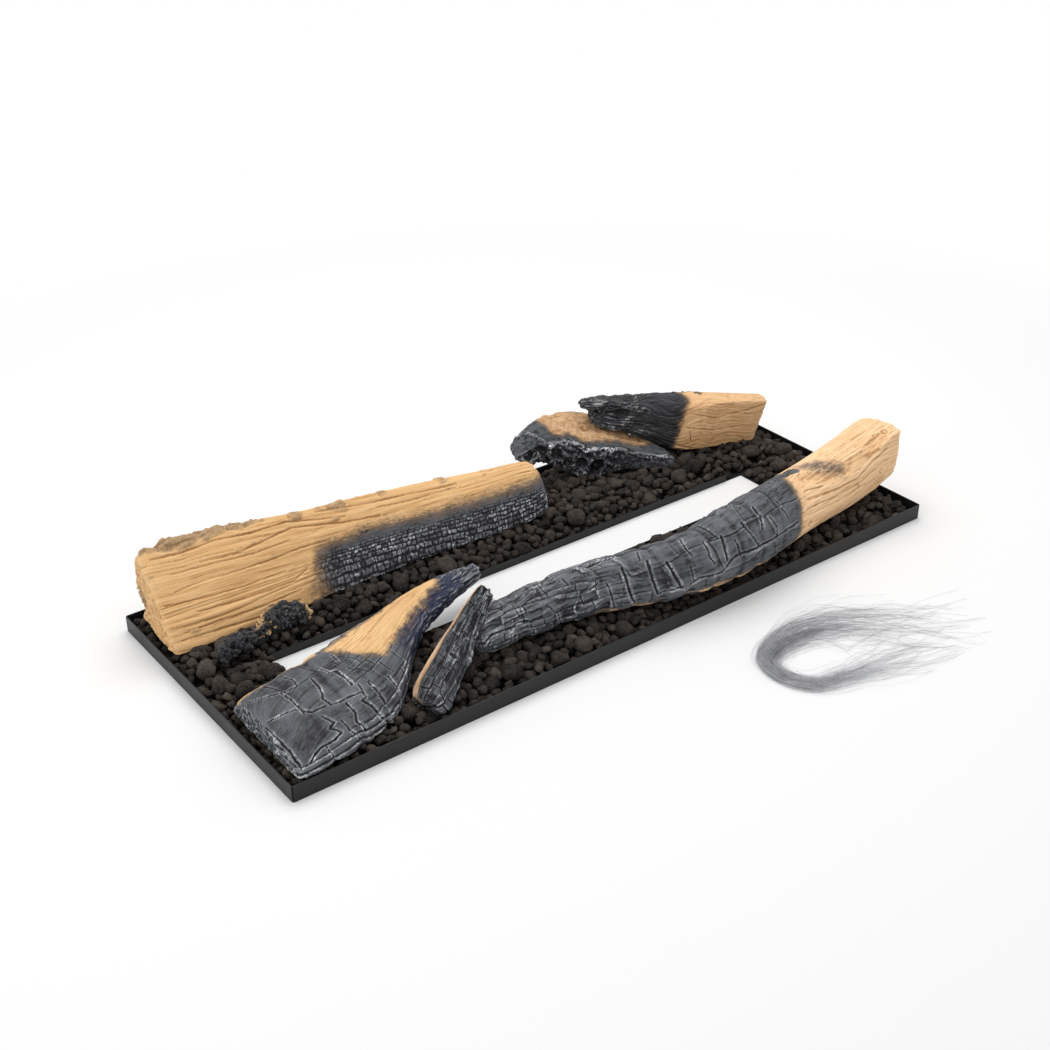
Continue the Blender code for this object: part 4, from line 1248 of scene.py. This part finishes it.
class LOGSET_OT_front_left_log(bpy.types.Operator):
    """Carve the charred slab: cracked plates, layered rim, tan split patch and blue-black prong"""

    bl_idname = "log_set.front_left_log"
    bl_label = "Front left log"
    bl_options = {"REGISTER", "UNDO"}

    def execute(self, context):
        looks = context.scene.log_set_looks
        surface = Surface("log_front_left", "charred_slab_front_left", looks.carving.grid * 0.82)
        x = surface.box_share(0)
        ragged = surface.lumps(0.016, 4, 2.0)
        within = inside_outline(surface, TAN_PATCH)
        upward = smooth_step(-0.1, 0.35, surface.normals[:, 2])
        patch = smooth_step(-0.010, 0.011, within + 0.006 * ragged) * upward
        edge_line = from_line(surface.points, surface.place(TAN_EDGE))[0]
        edge_line = (1 - smooth_step(0.002, 0.009, edge_line + 0.002 * ragged)) * 0.85
        char = 1 - np.clip(patch + edge_line, 0, 1)
        surface.layers["char"] = char
        prong = smooth_step(0.47, 0.60, x + 0.03 * ragged)
        surface.layers["navy"] = prong * (1 - 0.75 * smooth_step(0.86, 0.95, x))

        bend_grain(surface, 0.10, 0.006, 2.0)
        surface.push((split_grain(surface, looks.carving.groove * 0.7, 0.20, 3.0)
                      + combed(surface, 0.0040, 0.0009, 0.25, 3.0)) * (1 - char))
        flank = 1 - smooth_step(0.45, 0.75, surface.normals[:, 2])
        flank *= surface.side < 0
        body = char * (1 - prong)
        behind = smooth_step(-0.1, 0.4, surface.normals[:, 1])
        hidden = np.clip(behind + smooth_step(0.2, 0.6, -surface.normals[:, 2]), 0, 1)
        crack, number = plates(surface, 0.046, 0.037, 4.3, 0.12, 0.5)
        large = plate_relief(crack, number, 0.0019, looks.carving.crack, 0.0010, 0.0002)
        surface.push(body * hidden * large)
        fine_crack, fine_number = plates(surface, 0.021, 0.016, 9.1, 0.20, 0.6)
        small = plate_relief(fine_crack, fine_number, 0.0015, 0.0009, 0.0006, 0.0002)
        broken = smooth_step(0.24, 0.36, x) * (fine_number > 0.35)
        surface.push(body * small * np.clip(broken + hidden, 0, 1))
        cut_cracks(surface, FRONT_LEFT_CRACKS, body)
        step = surface.points[:, 2] / 0.0085 + 0.5 * surface.lumps((0.05, 0.05, 0.02), 2, 6.0)
        terrace = smooth_step(0.0, 0.6, step - np.floor(step)) - 0.5
        surface.push(body * flank * terrace * 0.0022)
        scales = ridges(surface.grain, (0.030, 0.012, 0.012), 2, 7.0)
        surface.push(prong * char * ((scales - 0.6) * 0.0022 + 0.0030 * flank))
        surface.push(pitted_end(surface, 0.0018, 6.0))
        surface.push(char * surface.waves((0.030, 0.0038, 0.0038), 2, 3.0) * 0.00014)
        surface.layers["fleck"] = char * (0.85 - 0.3 * prong)
        material = log_material("front_left_paint", looks.wood, 1.27, (1.14, 1.13, 1.17))
        surface.finish("front_left_log", material)
        return {"FINISHED"}


FRONT_RIGHT_CRACKS = (
    (16, 20, 247, 430, 510, 250, 371, 354, 257, 377, 160),
    (24, 36, 282, 437, 628, 280, 344, 491, 285, 298, 276, 310, 400, 33),
    (24, 32, 326, 354, 662, 322, 232, 475, 330, 197, 276),
    (17, 24, 330, 197, 262, 364, 120, 319, 377, 107, 293),
    (26, 36, 355, 243, 639, 359, 158, 509, 372, 111, 302),
    (16, 20, 395, 146, 538, 397, 94, 361),
    (18, 24, 437, 226, 740, 434, 101, 606, 440, 60, 500),
    (26, 36, 472, 176, 753, 467, 80, 621, 466, 37, 505),
    (28, 40, 522, 184, 812, 527, 108, 728, 538, 46, 591, 550, 38, 492),
    (18, 22, 494, 101, 683, 497, 29, 488),
    (20, 28, 569, 291, 868, 570, 175, 785, 564, 99, 656),
    (18, 24, 588, 156, 754, 599, 93, 616, 595, 57, 488),
    (18, 22, 501, 440, 820, 534, 450, 864, 548, 328, 869),
    (14, 14, 195, 467, 444, 197, 434, 331),
    (16, 18, 146, 492, 335, 163, 555, 78),
    (16, 18, 55, 541, 335, 67, 596, 62),
    (16, 20, 94, 521, 279, 109, 578, 60),
    (20, 30, 3, 564, 256, 17, 558, 346, 56, 540, 330, 74, 547, 359, 95, 525, 316),
    (20, 28, 226, 655, 643, 260, 625, 671, 293, 574, 673),
    (22, 34, 464, 23, 431, 485, 32, 518, 554, 45, 492, 605, 71, 498, 668, 158, 486),
    (20, 32, 382, 108, 249, 407, 67, 381, 455, 35, 346, 467, 21, 426),
    (14, 12, 136, 717, 589, 139, 583, 523),
    (14, 12, 180, 655, 609, 182, 561, 562),
    (14, 12, 214, 461, 481, 233, 470, 524),
    (14, 12, 72, 610, 478, 80, 557, 380),
    (14, 12, 129, 539, 452, 144, 492, 327),
    (15, 18, 324, 492, 713, 316, 391, 667),
    (15, 16, 405, 380, 770, 400, 260, 720, 404, 180, 640),
    (15, 16, 628, 300, 850, 632, 180, 740, 640, 130, 620),
)
TAN_GROOVES = (
    (110, 42, 735, 465, 815, 791, 384, 744, 848, 397, 773, 891, 402, 828, 949, 493, 944),
    (22, 18, 705, 264, 664, 794, 309, 582, 866, 349, 577, 908, 376, 712, 957, 402, 804),
    (19, 15, 710, 210, 459, 811, 307, 391, 892, 364, 417),
    (16, 12, 700, 240, 560, 800, 300, 480, 880, 350, 490, 950, 390, 640),
    (16, 12, 710, 340, 740, 790, 340, 670, 870, 370, 690, 930, 410, 850),
)
HIDDEN_RINGS = tuple(
    (0.045 + 0.050 * k, 62 + 12 * (k % 3), 176, 0.0020 + 0.0004 * (k % 4), 0.04 * (-1) ** k)
    for k in range(13)
)
DARK_BAND = ((0.765, 0.640, 0.826), (0.795, 0.540, 0.824), (0.825, 0.420, 0.780))
SPUR = ((0.655, 0.640, 0.860), (0.700, 0.640, 0.860), (0.735, 0.640, 0.850))
HOLES = (
    ((0.900, 0.40, 0.86), 0.007, -0.0014), ((0.968, 0.53, 0.97), 0.006, -0.0014),
    ((0.944, 0.39, 0.48), 0.005, -0.0020), ((0.871, 0.34, 0.43), 0.004, -0.0016),
    ((0.715, 0.20, 0.30), 0.007, -0.0034),
)


class LOGSET_OT_front_right_log(bpy.types.Operator):
    """Carve the long log: cracked round char at the left, split wood with knots at the right"""

    bl_idname = "log_set.front_right_log"
    bl_label = "Front right log"
    bl_options = {"REGISTER", "UNDO"}

    def execute(self, context):
        looks = context.scene.log_set_looks
        surface = Surface("log_front_right", "long_log_front_right", looks.carving.grid * 1.04)
        ragged = surface.waves(0.02, 3, 2.0)
        x = surface.box_share(0)
        edge = 0.690 + 0.004 * ragged + 0.010 * np.sin(surface.turn + 0.6)
        char = 1 - smooth_step(-0.016, 0.016, x - edge)
        spur = from_line(surface.points, surface.place(SPUR), surface.normals)[0]
        char = np.maximum(char, 1 - smooth_step(0.007, 0.011, spur + 0.003 * ragged))
        # Char painted at half strength in a soft dark band along a given line on the split wood.
        dark_band = from_line(surface.points, surface.place(DARK_BAND), surface.normals)[0]
        dark_band = (1 - smooth_step(0.002, 0.024, dark_band + 0.004 * ragged)) * 0.50
        under = smooth_step(0.05, 0.5, -surface.normals[:, 2] - 0.2)
        torn = smooth_step(-0.1, 0.25, surface.waves((0.05, 0.012, 0.012), 3, 8.0))
        sliver = under * torn * smooth_step(0.20, 0.26, x) * (surface.side < 0.004)
        char = np.clip(np.maximum(char * (1 - 0.85 * sliver), dark_band), 0, 1)
        surface.layers["char"] = char
        wood = 1 - smooth_step(0.45, 0.9, char)

        bend_grain(surface, 0.12, 0.010, 6.0)
        surface.push((split_grain(surface, looks.carving.groove * 0.9, 0.26, 5.0)
                      + combed(surface, 0.0052, 0.0008, 0.25, 5.0)) * wood)
        cut_cracks(surface, TAN_GROOVES, wood, 0.0004, 1.0, 0.25)
        body = smooth_step(0.5, 0.9, char)
        surface.push(body * ring_cracks(surface, HIDDEN_RINGS))
        crack, number = plates(surface, 0.062, 0.036, 1.7, 0.30, 0.8)
        surface.push(body * plate_relief(crack, number, 0.0015, 0.0004, 0.0008, 0.0002))
        left = 1 - smooth_step(0.20, 0.34, x)
        flakes = surface.waves((0.034, 0.014, 0.014), 4, 3.0)
        surface.push(body * (0.0008 + 0.0007 * left) * flakes)
        flake_edge, flake = plates(surface, 0.026, 0.017, 5.3, 0.45, 1.0)
        surface.push(body * left * plate_relief(flake_edge, flake, 0.0016, 0.0007, 0.0010, 0.0002))
        surface.push(body * surface.waves((0.05, 0.0038, 0.0038), 2, 4.0) * 0.00016)
        cut_cracks(surface, FRONT_RIGHT_CRACKS, body)
        surface.push(pitted_end(surface, 0.0020, 6.0))
        for place, radius, depth in HOLES:
            knot = spot(surface, place, radius)
            surface.push(depth * np.sin(knot * math.pi * 1.5))
            # Painted shade in the knot holes.
            surface.shade -= 0.9 * smooth_step(0.35, 0.6, knot)
        surface.layers["fleck"] = body * (0.50 + 0.5 * left)
        material = log_material("front_right_paint", looks.wood, 1.35, (1.34, 1.38, 1.70))
        surface.finish("front_right_log", material)
        return {"FINISHED"}


SLAB_TAN = (
    (0.255, 1.02), (0.270, 0.86), (0.300, 0.740), (0.347, 0.675), (0.429, 0.596), (0.568, 0.466),
    (0.735, 0.375), (0.850, 0.290), (0.990, 0.350), (0.930, 0.640), (0.640, 0.930), (0.400, 1.05),
)
SLAB_RIM = (
    (0.060, 0.850, 0.837), (0.140, 0.870, 0.917), (0.179, 0.719, 0.894), (0.222, 0.581, 0.773),
    (0.306, 0.568, 0.744), (0.387, 0.584, 0.740), (0.460, 0.478, 0.557), (0.541, 0.397, 0.549),
    (0.665, 0.320, 0.487), (0.776, 0.206, 0.346), (0.857, 0.116, 0.271), (0.941, 0.068, 0.261),
)
SLAB_CAVES = (
    ((0.090, 0.600, 0.700), 0.010, 0.0030), ((0.185, 0.580, 0.720), 0.009, 0.0034),
    ((0.277, 0.567, 0.600), 0.011, 0.0045), ((0.356, 0.537, 0.420), 0.010, 0.0045),
    ((0.226, 0.635, 0.450), 0.012, 0.0050), ((0.438, 0.477, 0.340), 0.010, 0.0045),
    ((0.524, 0.384, 0.300), 0.011, 0.0045), ((0.620, 0.330, 0.300), 0.008, 0.0025),
)


class LOGSET_OT_slab(bpy.types.Operator):
    """Carve the bark slab: tan top, smooth grey rim and a deeply broken front"""

    bl_idname = "log_set.slab"
    bl_label = "Bark slab"
    bl_options = {"REGISTER", "UNDO"}

    def execute(self, context):
        looks = context.scene.log_set_looks
        surface = Surface("bark_slab", "broken_bark_slab", looks.carving.fine_grid)
        ragged = surface.lumps(0.025, 3, 2.0)
        facing = -surface.normals[:, 1]
        front = smooth_step(0.25, 0.6, facing - 0.5 * surface.normals[:, 2])
        within = inside_outline(surface, SLAB_TAN) + 0.006 * ragged
        tan = smooth_step(-0.009, 0.009, within) * smooth_step(-0.3, 0.2, surface.normals[:, 2])
        surface.layers["char"] = 1 - tan
        left = 1 - smooth_step(0.45, 0.75, surface.share)
        caves = surface.lumps(0.020, 4, 5.0) * 0.0065 + surface.lumps(0.008, 3, 9.0) * 0.0030
        surface.push(front * caves * (0.35 + 0.75 * left) - front * 0.0012)
        for place, radius, depth in SLAB_CAVES:
            hollow = smooth_step(0.0, 0.8, spot(surface, place, radius) + 0.18 * ragged)
            surface.push(-depth * hollow)
            # Painted shade in the hollows.
            surface.shade -= 0.7 * hollow
        rim = from_line(surface.points, surface.place(SLAB_RIM), surface.normals)[0]
        jagged = surface.lumps(0.008, 3, 12.0)
        crest = 1 - smooth_step(0.001, 0.0055, rim + 0.002 * jagged)
        surface.push(crest * (0.0016 + 0.0030 * jagged))
        rough = surface.lumps(0.012, 4, 1.0) * 0.0016
        surface.push((1 - front) * rough * (0.4 + 0.8 * tan))
        bend_grain(surface, 0.08, 0.008, 6.0)
        surface.push(split_grain(surface, looks.carving.groove * 0.8, 0.12, 7.0) * (1 - front))
        surface.layers["fleck"] = (1 - tan) * (0.25 + 0.5 * front + 0.6 * crest)
        material = log_material("slab_paint", looks.wood, 0.95, (0.93, 0.93, 1.12))
        surface.finish("slab", material)
        return {"FINISHED"}


BACK_RIGHT_CRACKS = (
    (22, 40, 70, 950, 784, 95, 790, 800, 152, 673, 879, 236, 629, 891),
    (16, 22, 408, 362, 300, 473, 307, 192, 541, 260, 124),
    (16, 24, 525, 270, 371, 532, 263, 236),
    (14, 14, 538, 288, 641, 661, 180, 527, 803, 90, 544, 948, 4, 589),
    (14, 14, 504, 294, 452, 666, 177, 338, 840, 73, 318),
)
CHAR_EDGE = ((0.1, 0.425), (0.3, 0.445), (0.5, 0.475), (0.7, 0.50), (0.8, 0.56), (1.0, 0.60))
CRUMBS = (
    (0.550, 0.631, 0.813), (0.600, 0.640, 0.780), (0.639, 0.641, 0.753), (0.658, 0.506, 0.780),
)


class LOGSET_OT_back_right_log(bpy.types.Operator):
    """Carve the back right log: layered char with two prongs, and wavy split wood"""

    bl_idname = "log_set.back_right_log"
    bl_label = "Back right log"
    bl_options = {"REGISTER", "UNDO"}

    def execute(self, context):
        looks = context.scene.log_set_looks
        surface = Surface("log_back_right", "pronged_log_back_right", looks.carving.fine_grid)
        ragged = surface.lumps(0.02, 3, 2.0)
        edge = line_height(CHAR_EDGE, surface.box_share(2))
        char = 1 - smooth_step(-0.030, 0.030, surface.box_share(0) - edge - 0.012 * ragged)
        crumbs = np.max([spot(surface, place, 0.012) for place in CRUMBS], axis=0)
        burnt = 0.55 * smooth_step(0.1, 0.7, crumbs + 0.3 * ragged)
        surface.layers["char"] = np.maximum(char, burnt)
        bend_grain(surface, 0.06, 0.012, 3.0)
        layer = surface.grain[:, 2] / 0.0048 + 1.3 * surface.waves((0.06, 0.03, 0.03), 2, 11.0)
        strata = smooth_step(0.0, 0.75, layer - np.floor(layer)) - 0.5
        strata *= 0.3 + scatter(np.floor(layer))
        surface.push(strata * (1 - surface.end) * (0.0006 + 0.0009 * char))
        surface.push(split_grain(surface, looks.carving.groove * 0.8, 0.10, 2.0))
        cut_cracks(surface, BACK_RIGHT_CRACKS)
        prongs = 1 - smooth_step(0.2, 0.5, surface.share)
        surface.push(surface.lumps(0.018, 4, 5.0) * 0.0022 * prongs)
        surface.push(char * surface.waves((0.040, 0.008, 0.008), 4, 8.0) * 0.0018)
        surface.push(crumbs * surface.lumps(0.005, 3, 4.0) * 0.0030)
        surface.push(pitted_end(surface, 0.0016, 5.0))
        surface.layers["fleck"] = char * (0.10 + 0.45 * prongs) + 0.6 * crumbs * (1 - char)
        material = log_material("back_right_paint", looks.wood, 0.31, (1.13, 1.11, 1.25))
        surface.finish("back_right_log", material)
        return {"FINISHED"}


STRIP_TURN = 0.75


class LOGSET_OT_stick(bpy.types.Operator):
    """Carve the leaning stick: dark ribbed bark with a tan split strip"""

    bl_idname = "log_set.stick"
    bl_label = "Leaning stick"
    bl_options = {"REGISTER", "UNDO"}

    def execute(self, context):
        looks = context.scene.log_set_looks
        surface = Surface("leaning_stick", "leaning_split_stick", looks.carving.fine_grid * 0.8)
        from_strip = np.abs(surface.turn - STRIP_TURN)
        strip = 1 - smooth_step(0.18, 0.34, from_strip)
        strip *= smooth_step(-0.3, 0.2, 1.0 - surface.end)
        surface.layers["char"] = 1 - strip
        bend_grain(surface, 0.09, 0.003, 3.0)
        surface.push(split_grain(surface, 0.0012, 0.10, 3.0))
        surface.push(combed(surface, 0.0080, 0.0034, 0.16, 2.0) * (1 - strip))
        surface.push(surface.waves((0.022, 0.010, 0.010), 3, 6.0) * 0.0036 * (1 - strip))
        crack, number = plates(surface, 0.020, 0.010, 2.3, 0.3, 0.8)
        surface.push(plate_relief(crack, number, 0.0016, 0.0018, 0.0010, 0.0) * (1 - strip))
        surface.layers["fleck"] = (1 - strip) * 0.55
        surface.layers["bark"] = strip * smooth_step(0.1, 0.3, from_strip)
        material = log_material("stick_paint", looks.wood, 0.7, (0.95, 0.98, 1.3))
        surface.finish("stick", material)
        return {"FINISHED"}


class LOGSET_OT_twig(bpy.types.Operator):
    """Carve the charred twig: lumpy like coral, with a pale split sliver on top"""

    bl_idname = "log_set.twig"
    bl_label = "Charred twig"
    bl_options = {"REGISTER", "UNDO"}

    def execute(self, context):
        looks = context.scene.log_set_looks
        surface = Surface("charred_twig", "coral_twig", looks.carving.fine_grid * 0.7)
        knots = surface.lumps(0.0120, 2, 3.0) * 0.0056
        pits = ridges(surface.points, 0.0075, 2, 8.0) * 0.0034
        surface.push(knots + pits - 0.0016)
        surface.push(surface.lumps(0.0045, 3, 2.0) * 0.0014)
        sliver = smooth_step(0.1, 0.5, surface.normals[:, 2])
        sliver *= smooth_step(0.35, 0.5, surface.share)
        sliver *= 1 - smooth_step(0.72, 0.85, surface.share)
        sliver *= smooth_step(-0.1, 0.25, surface.waves((0.03, 0.008, 0.008), 2, 4.0))
        tip = smooth_step(0.93, 0.98, surface.share)
        surface.layers["char"] = 1 - np.clip(sliver * 0.8 + tip, 0, 1)
        surface.layers["fleck"] = 0.06
        material = log_material("twig_paint", looks.wood, 0.38)
        surface.finish("twig", material)
        return {"FINISHED"}


# Glow wool


WOOL_PATH = (
    (0.360, -0.322), (0.307, -0.297), (0.260, -0.258), (0.214, -0.217), (0.181, -0.198),
    (0.144, -0.191), (0.105, -0.197), (0.084, -0.208), (0.076, -0.231), (0.082, -0.257),
    (0.099, -0.275), (0.140, -0.284), (0.186, -0.291), (0.237, -0.301), (0.300, -0.318),
)
WOOL_BANDS = (
    0.100, 0.096, 0.086, 0.072, 0.058, 0.046, 0.036, 0.028, 0.025, 0.026, 0.030, 0.036, 0.050,
    0.070, 0.086,
)
WOOL_SEED = 5
FIBRE_POINTS = 30
WOOL_EDGE = -0.319
WOOL_OVER = 0.022
STRAY_FIBRES = 0.25
STRANDS = 34


def along_path(line, at):
    """A place on a smooth curve through points, and the way it runs there."""
    k = min(int(at), len(line) - 2)
    before, near, far, after = (
        Vector(line[min(max(i, 0), len(line) - 1)]) for i in (k - 1, k, k + 1, k + 2)
    )
    t = at - k
    bend = 2 * before - 5 * near + 4 * far - after
    twist = 3 * near - before - 3 * far + after
    place = near + t * 0.5 * ((far - before) + t * (bend + t * twist))
    return place, (far - before).lerp(after - near, t).normalized()


def wool_line(draw, line, band, count):
    """The points of one fibre along part of the tuft's bend; most fibres lie in strands."""
    start = draw.random() ** 0.8 * 0.44
    stop = 1 - draw.random() ** 0.8 * 0.46
    stray = draw.random() < STRAY_FIBRES
    strand = float(scatter(draw.randrange(STRANDS))) * 2 - 1
    across = math.copysign(abs(strand) ** 1.3, strand) + draw.gauss(0, 0.3 if stray else 0.07)
    across = max(-1, min(1, across))
    height = draw.random()
    shift = Vector((draw.random(), draw.random(), draw.random())) * 60
    points = []
    for step in range(count):
        share = start + (stop - start) * step / (count - 1)
        at = share * (len(line) - 1)
        middle, along = along_path(line, at)
        side = Vector((-along.y, along.x))
        width = np.interp(at, range(len(band)), band)
        loose = abs(share - 0.55) * 2
        spread = 0.14 + 0.45 * loose + (0.10 + 1.1 * loose if stray else 0)
        sway = noise.noise(shift + Vector((share * 5, 0, 0))) * spread
        curl = noise.noise(shift + Vector((0, 0, share * 22))) * (0.03 + 0.12 * loose)
        place = middle + side * width * (across * 0.5 + sway + curl)
        lift = noise.noise(shift + Vector((0, share * 5, 0))) * 0.5 + 0.5
        past = max(0.0, WOOL_EDGE - place.y)
        y = place.y + past - WOOL_OVER * (1 - math.exp(-past / WOOL_OVER))
        points.append((place.x, y, 0.0006 + 0.013 * height * lift * (1 - 0.6 * loose)))
    return points


class LOGSET_OT_glow_wool(bpy.types.Operator):
    """Lay the tuft of glow wool as single fine fibres"""

    bl_idname = "log_set.glow_wool"
    bl_label = "Glow wool"
    bl_options = {"REGISTER", "UNDO"}

    def execute(self, context):
        settings = context.scene.log_set_looks.wool
        material = wool_material(settings)
        draw = random.Random(WOOL_SEED)
        profile = bpy.data.curves.new("fibre_profile", "CURVE")
        rim = profile.splines.new("POLY")
        rim.points.add(2)
        for k, point in enumerate(rim.points):
            angle = math.tau * k / 3
            x, y = math.cos(angle) * settings.thickness, math.sin(angle) * settings.thickness
            point.co = (x, y, 0, 1)
        rim.use_cyclic_u = True
        outline = add_object("fibre_profile", profile)
        for number in (1, 2):
            curve = bpy.data.curves.new(f"glow_wool_fibres_{number}", "CURVE")
            curve.dimensions = "3D"
            curve.bevel_mode = "OBJECT"
            curve.bevel_object = outline
            curve.use_fill_caps = True
            for _ in range(settings.fibres // 2):
                points = wool_line(draw, WOOL_PATH, WOOL_BANDS, FIBRE_POINTS)
                spline = curve.splines.new("POLY")
                spline.points.add(len(points) - 1)
                for knot, point in zip(spline.points, points):
                    knot.co = (*point, 1)
            item = add_object(curve.name, curve)
            mesh = shown_mesh(item)
            bpy.data.objects.remove(item)
            mesh.name = curve.name
            mesh.shade_smooth()
            mesh.materials.clear()
            mesh.materials.append(material)
            piece = add_object(mesh.name, mesh)
            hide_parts("glow_wool")
            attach(piece, "wool")
        bpy.data.objects.remove(outline)
        return {"FINISHED"}


# Panel and registration


STEPS = (
    LOGSET_OT_stage, LOGSET_OT_tray, LOGSET_OT_lava, LOGSET_OT_back_left_log,
    LOGSET_OT_front_left_log, LOGSET_OT_front_right_log, LOGSET_OT_slab,
    LOGSET_OT_back_right_log, LOGSET_OT_stick, LOGSET_OT_twig, LOGSET_OT_glow_wool,
)


class LOGSET_PT_looks(bpy.types.Panel):
    """Buttons that build the log set's looks"""

    bl_idname = "LOGSET_PT_looks"
    bl_label = "Log Set"
    bl_space_type = "VIEW_3D"
    bl_region_type = "UI"
    bl_category = "Log Set"

    def draw(self, context):
        for step in STEPS:
            self.layout.operator(step.bl_idname)


CLASSES = (
    WoodColours, CarvingSizes, LavaSettings, TraySettings, WoolSettings, StageSettings, LogSetLooks,
    *STEPS, LOGSET_PT_looks,
)


def register():
    for item in CLASSES:
        bpy.utils.register_class(item)
    bpy.types.Scene.log_set_looks = bpy.props.PointerProperty(type=LogSetLooks)


def unregister():
    del bpy.types.Scene.log_set_looks
    for item in reversed(CLASSES):
        bpy.utils.unregister_class(item)


def main():
    register()
    for step in STEPS:
        group, name = step.bl_idname.split(".")
        getattr(getattr(bpy.ops, group), name)()


if __name__ == "__main__":
    main()
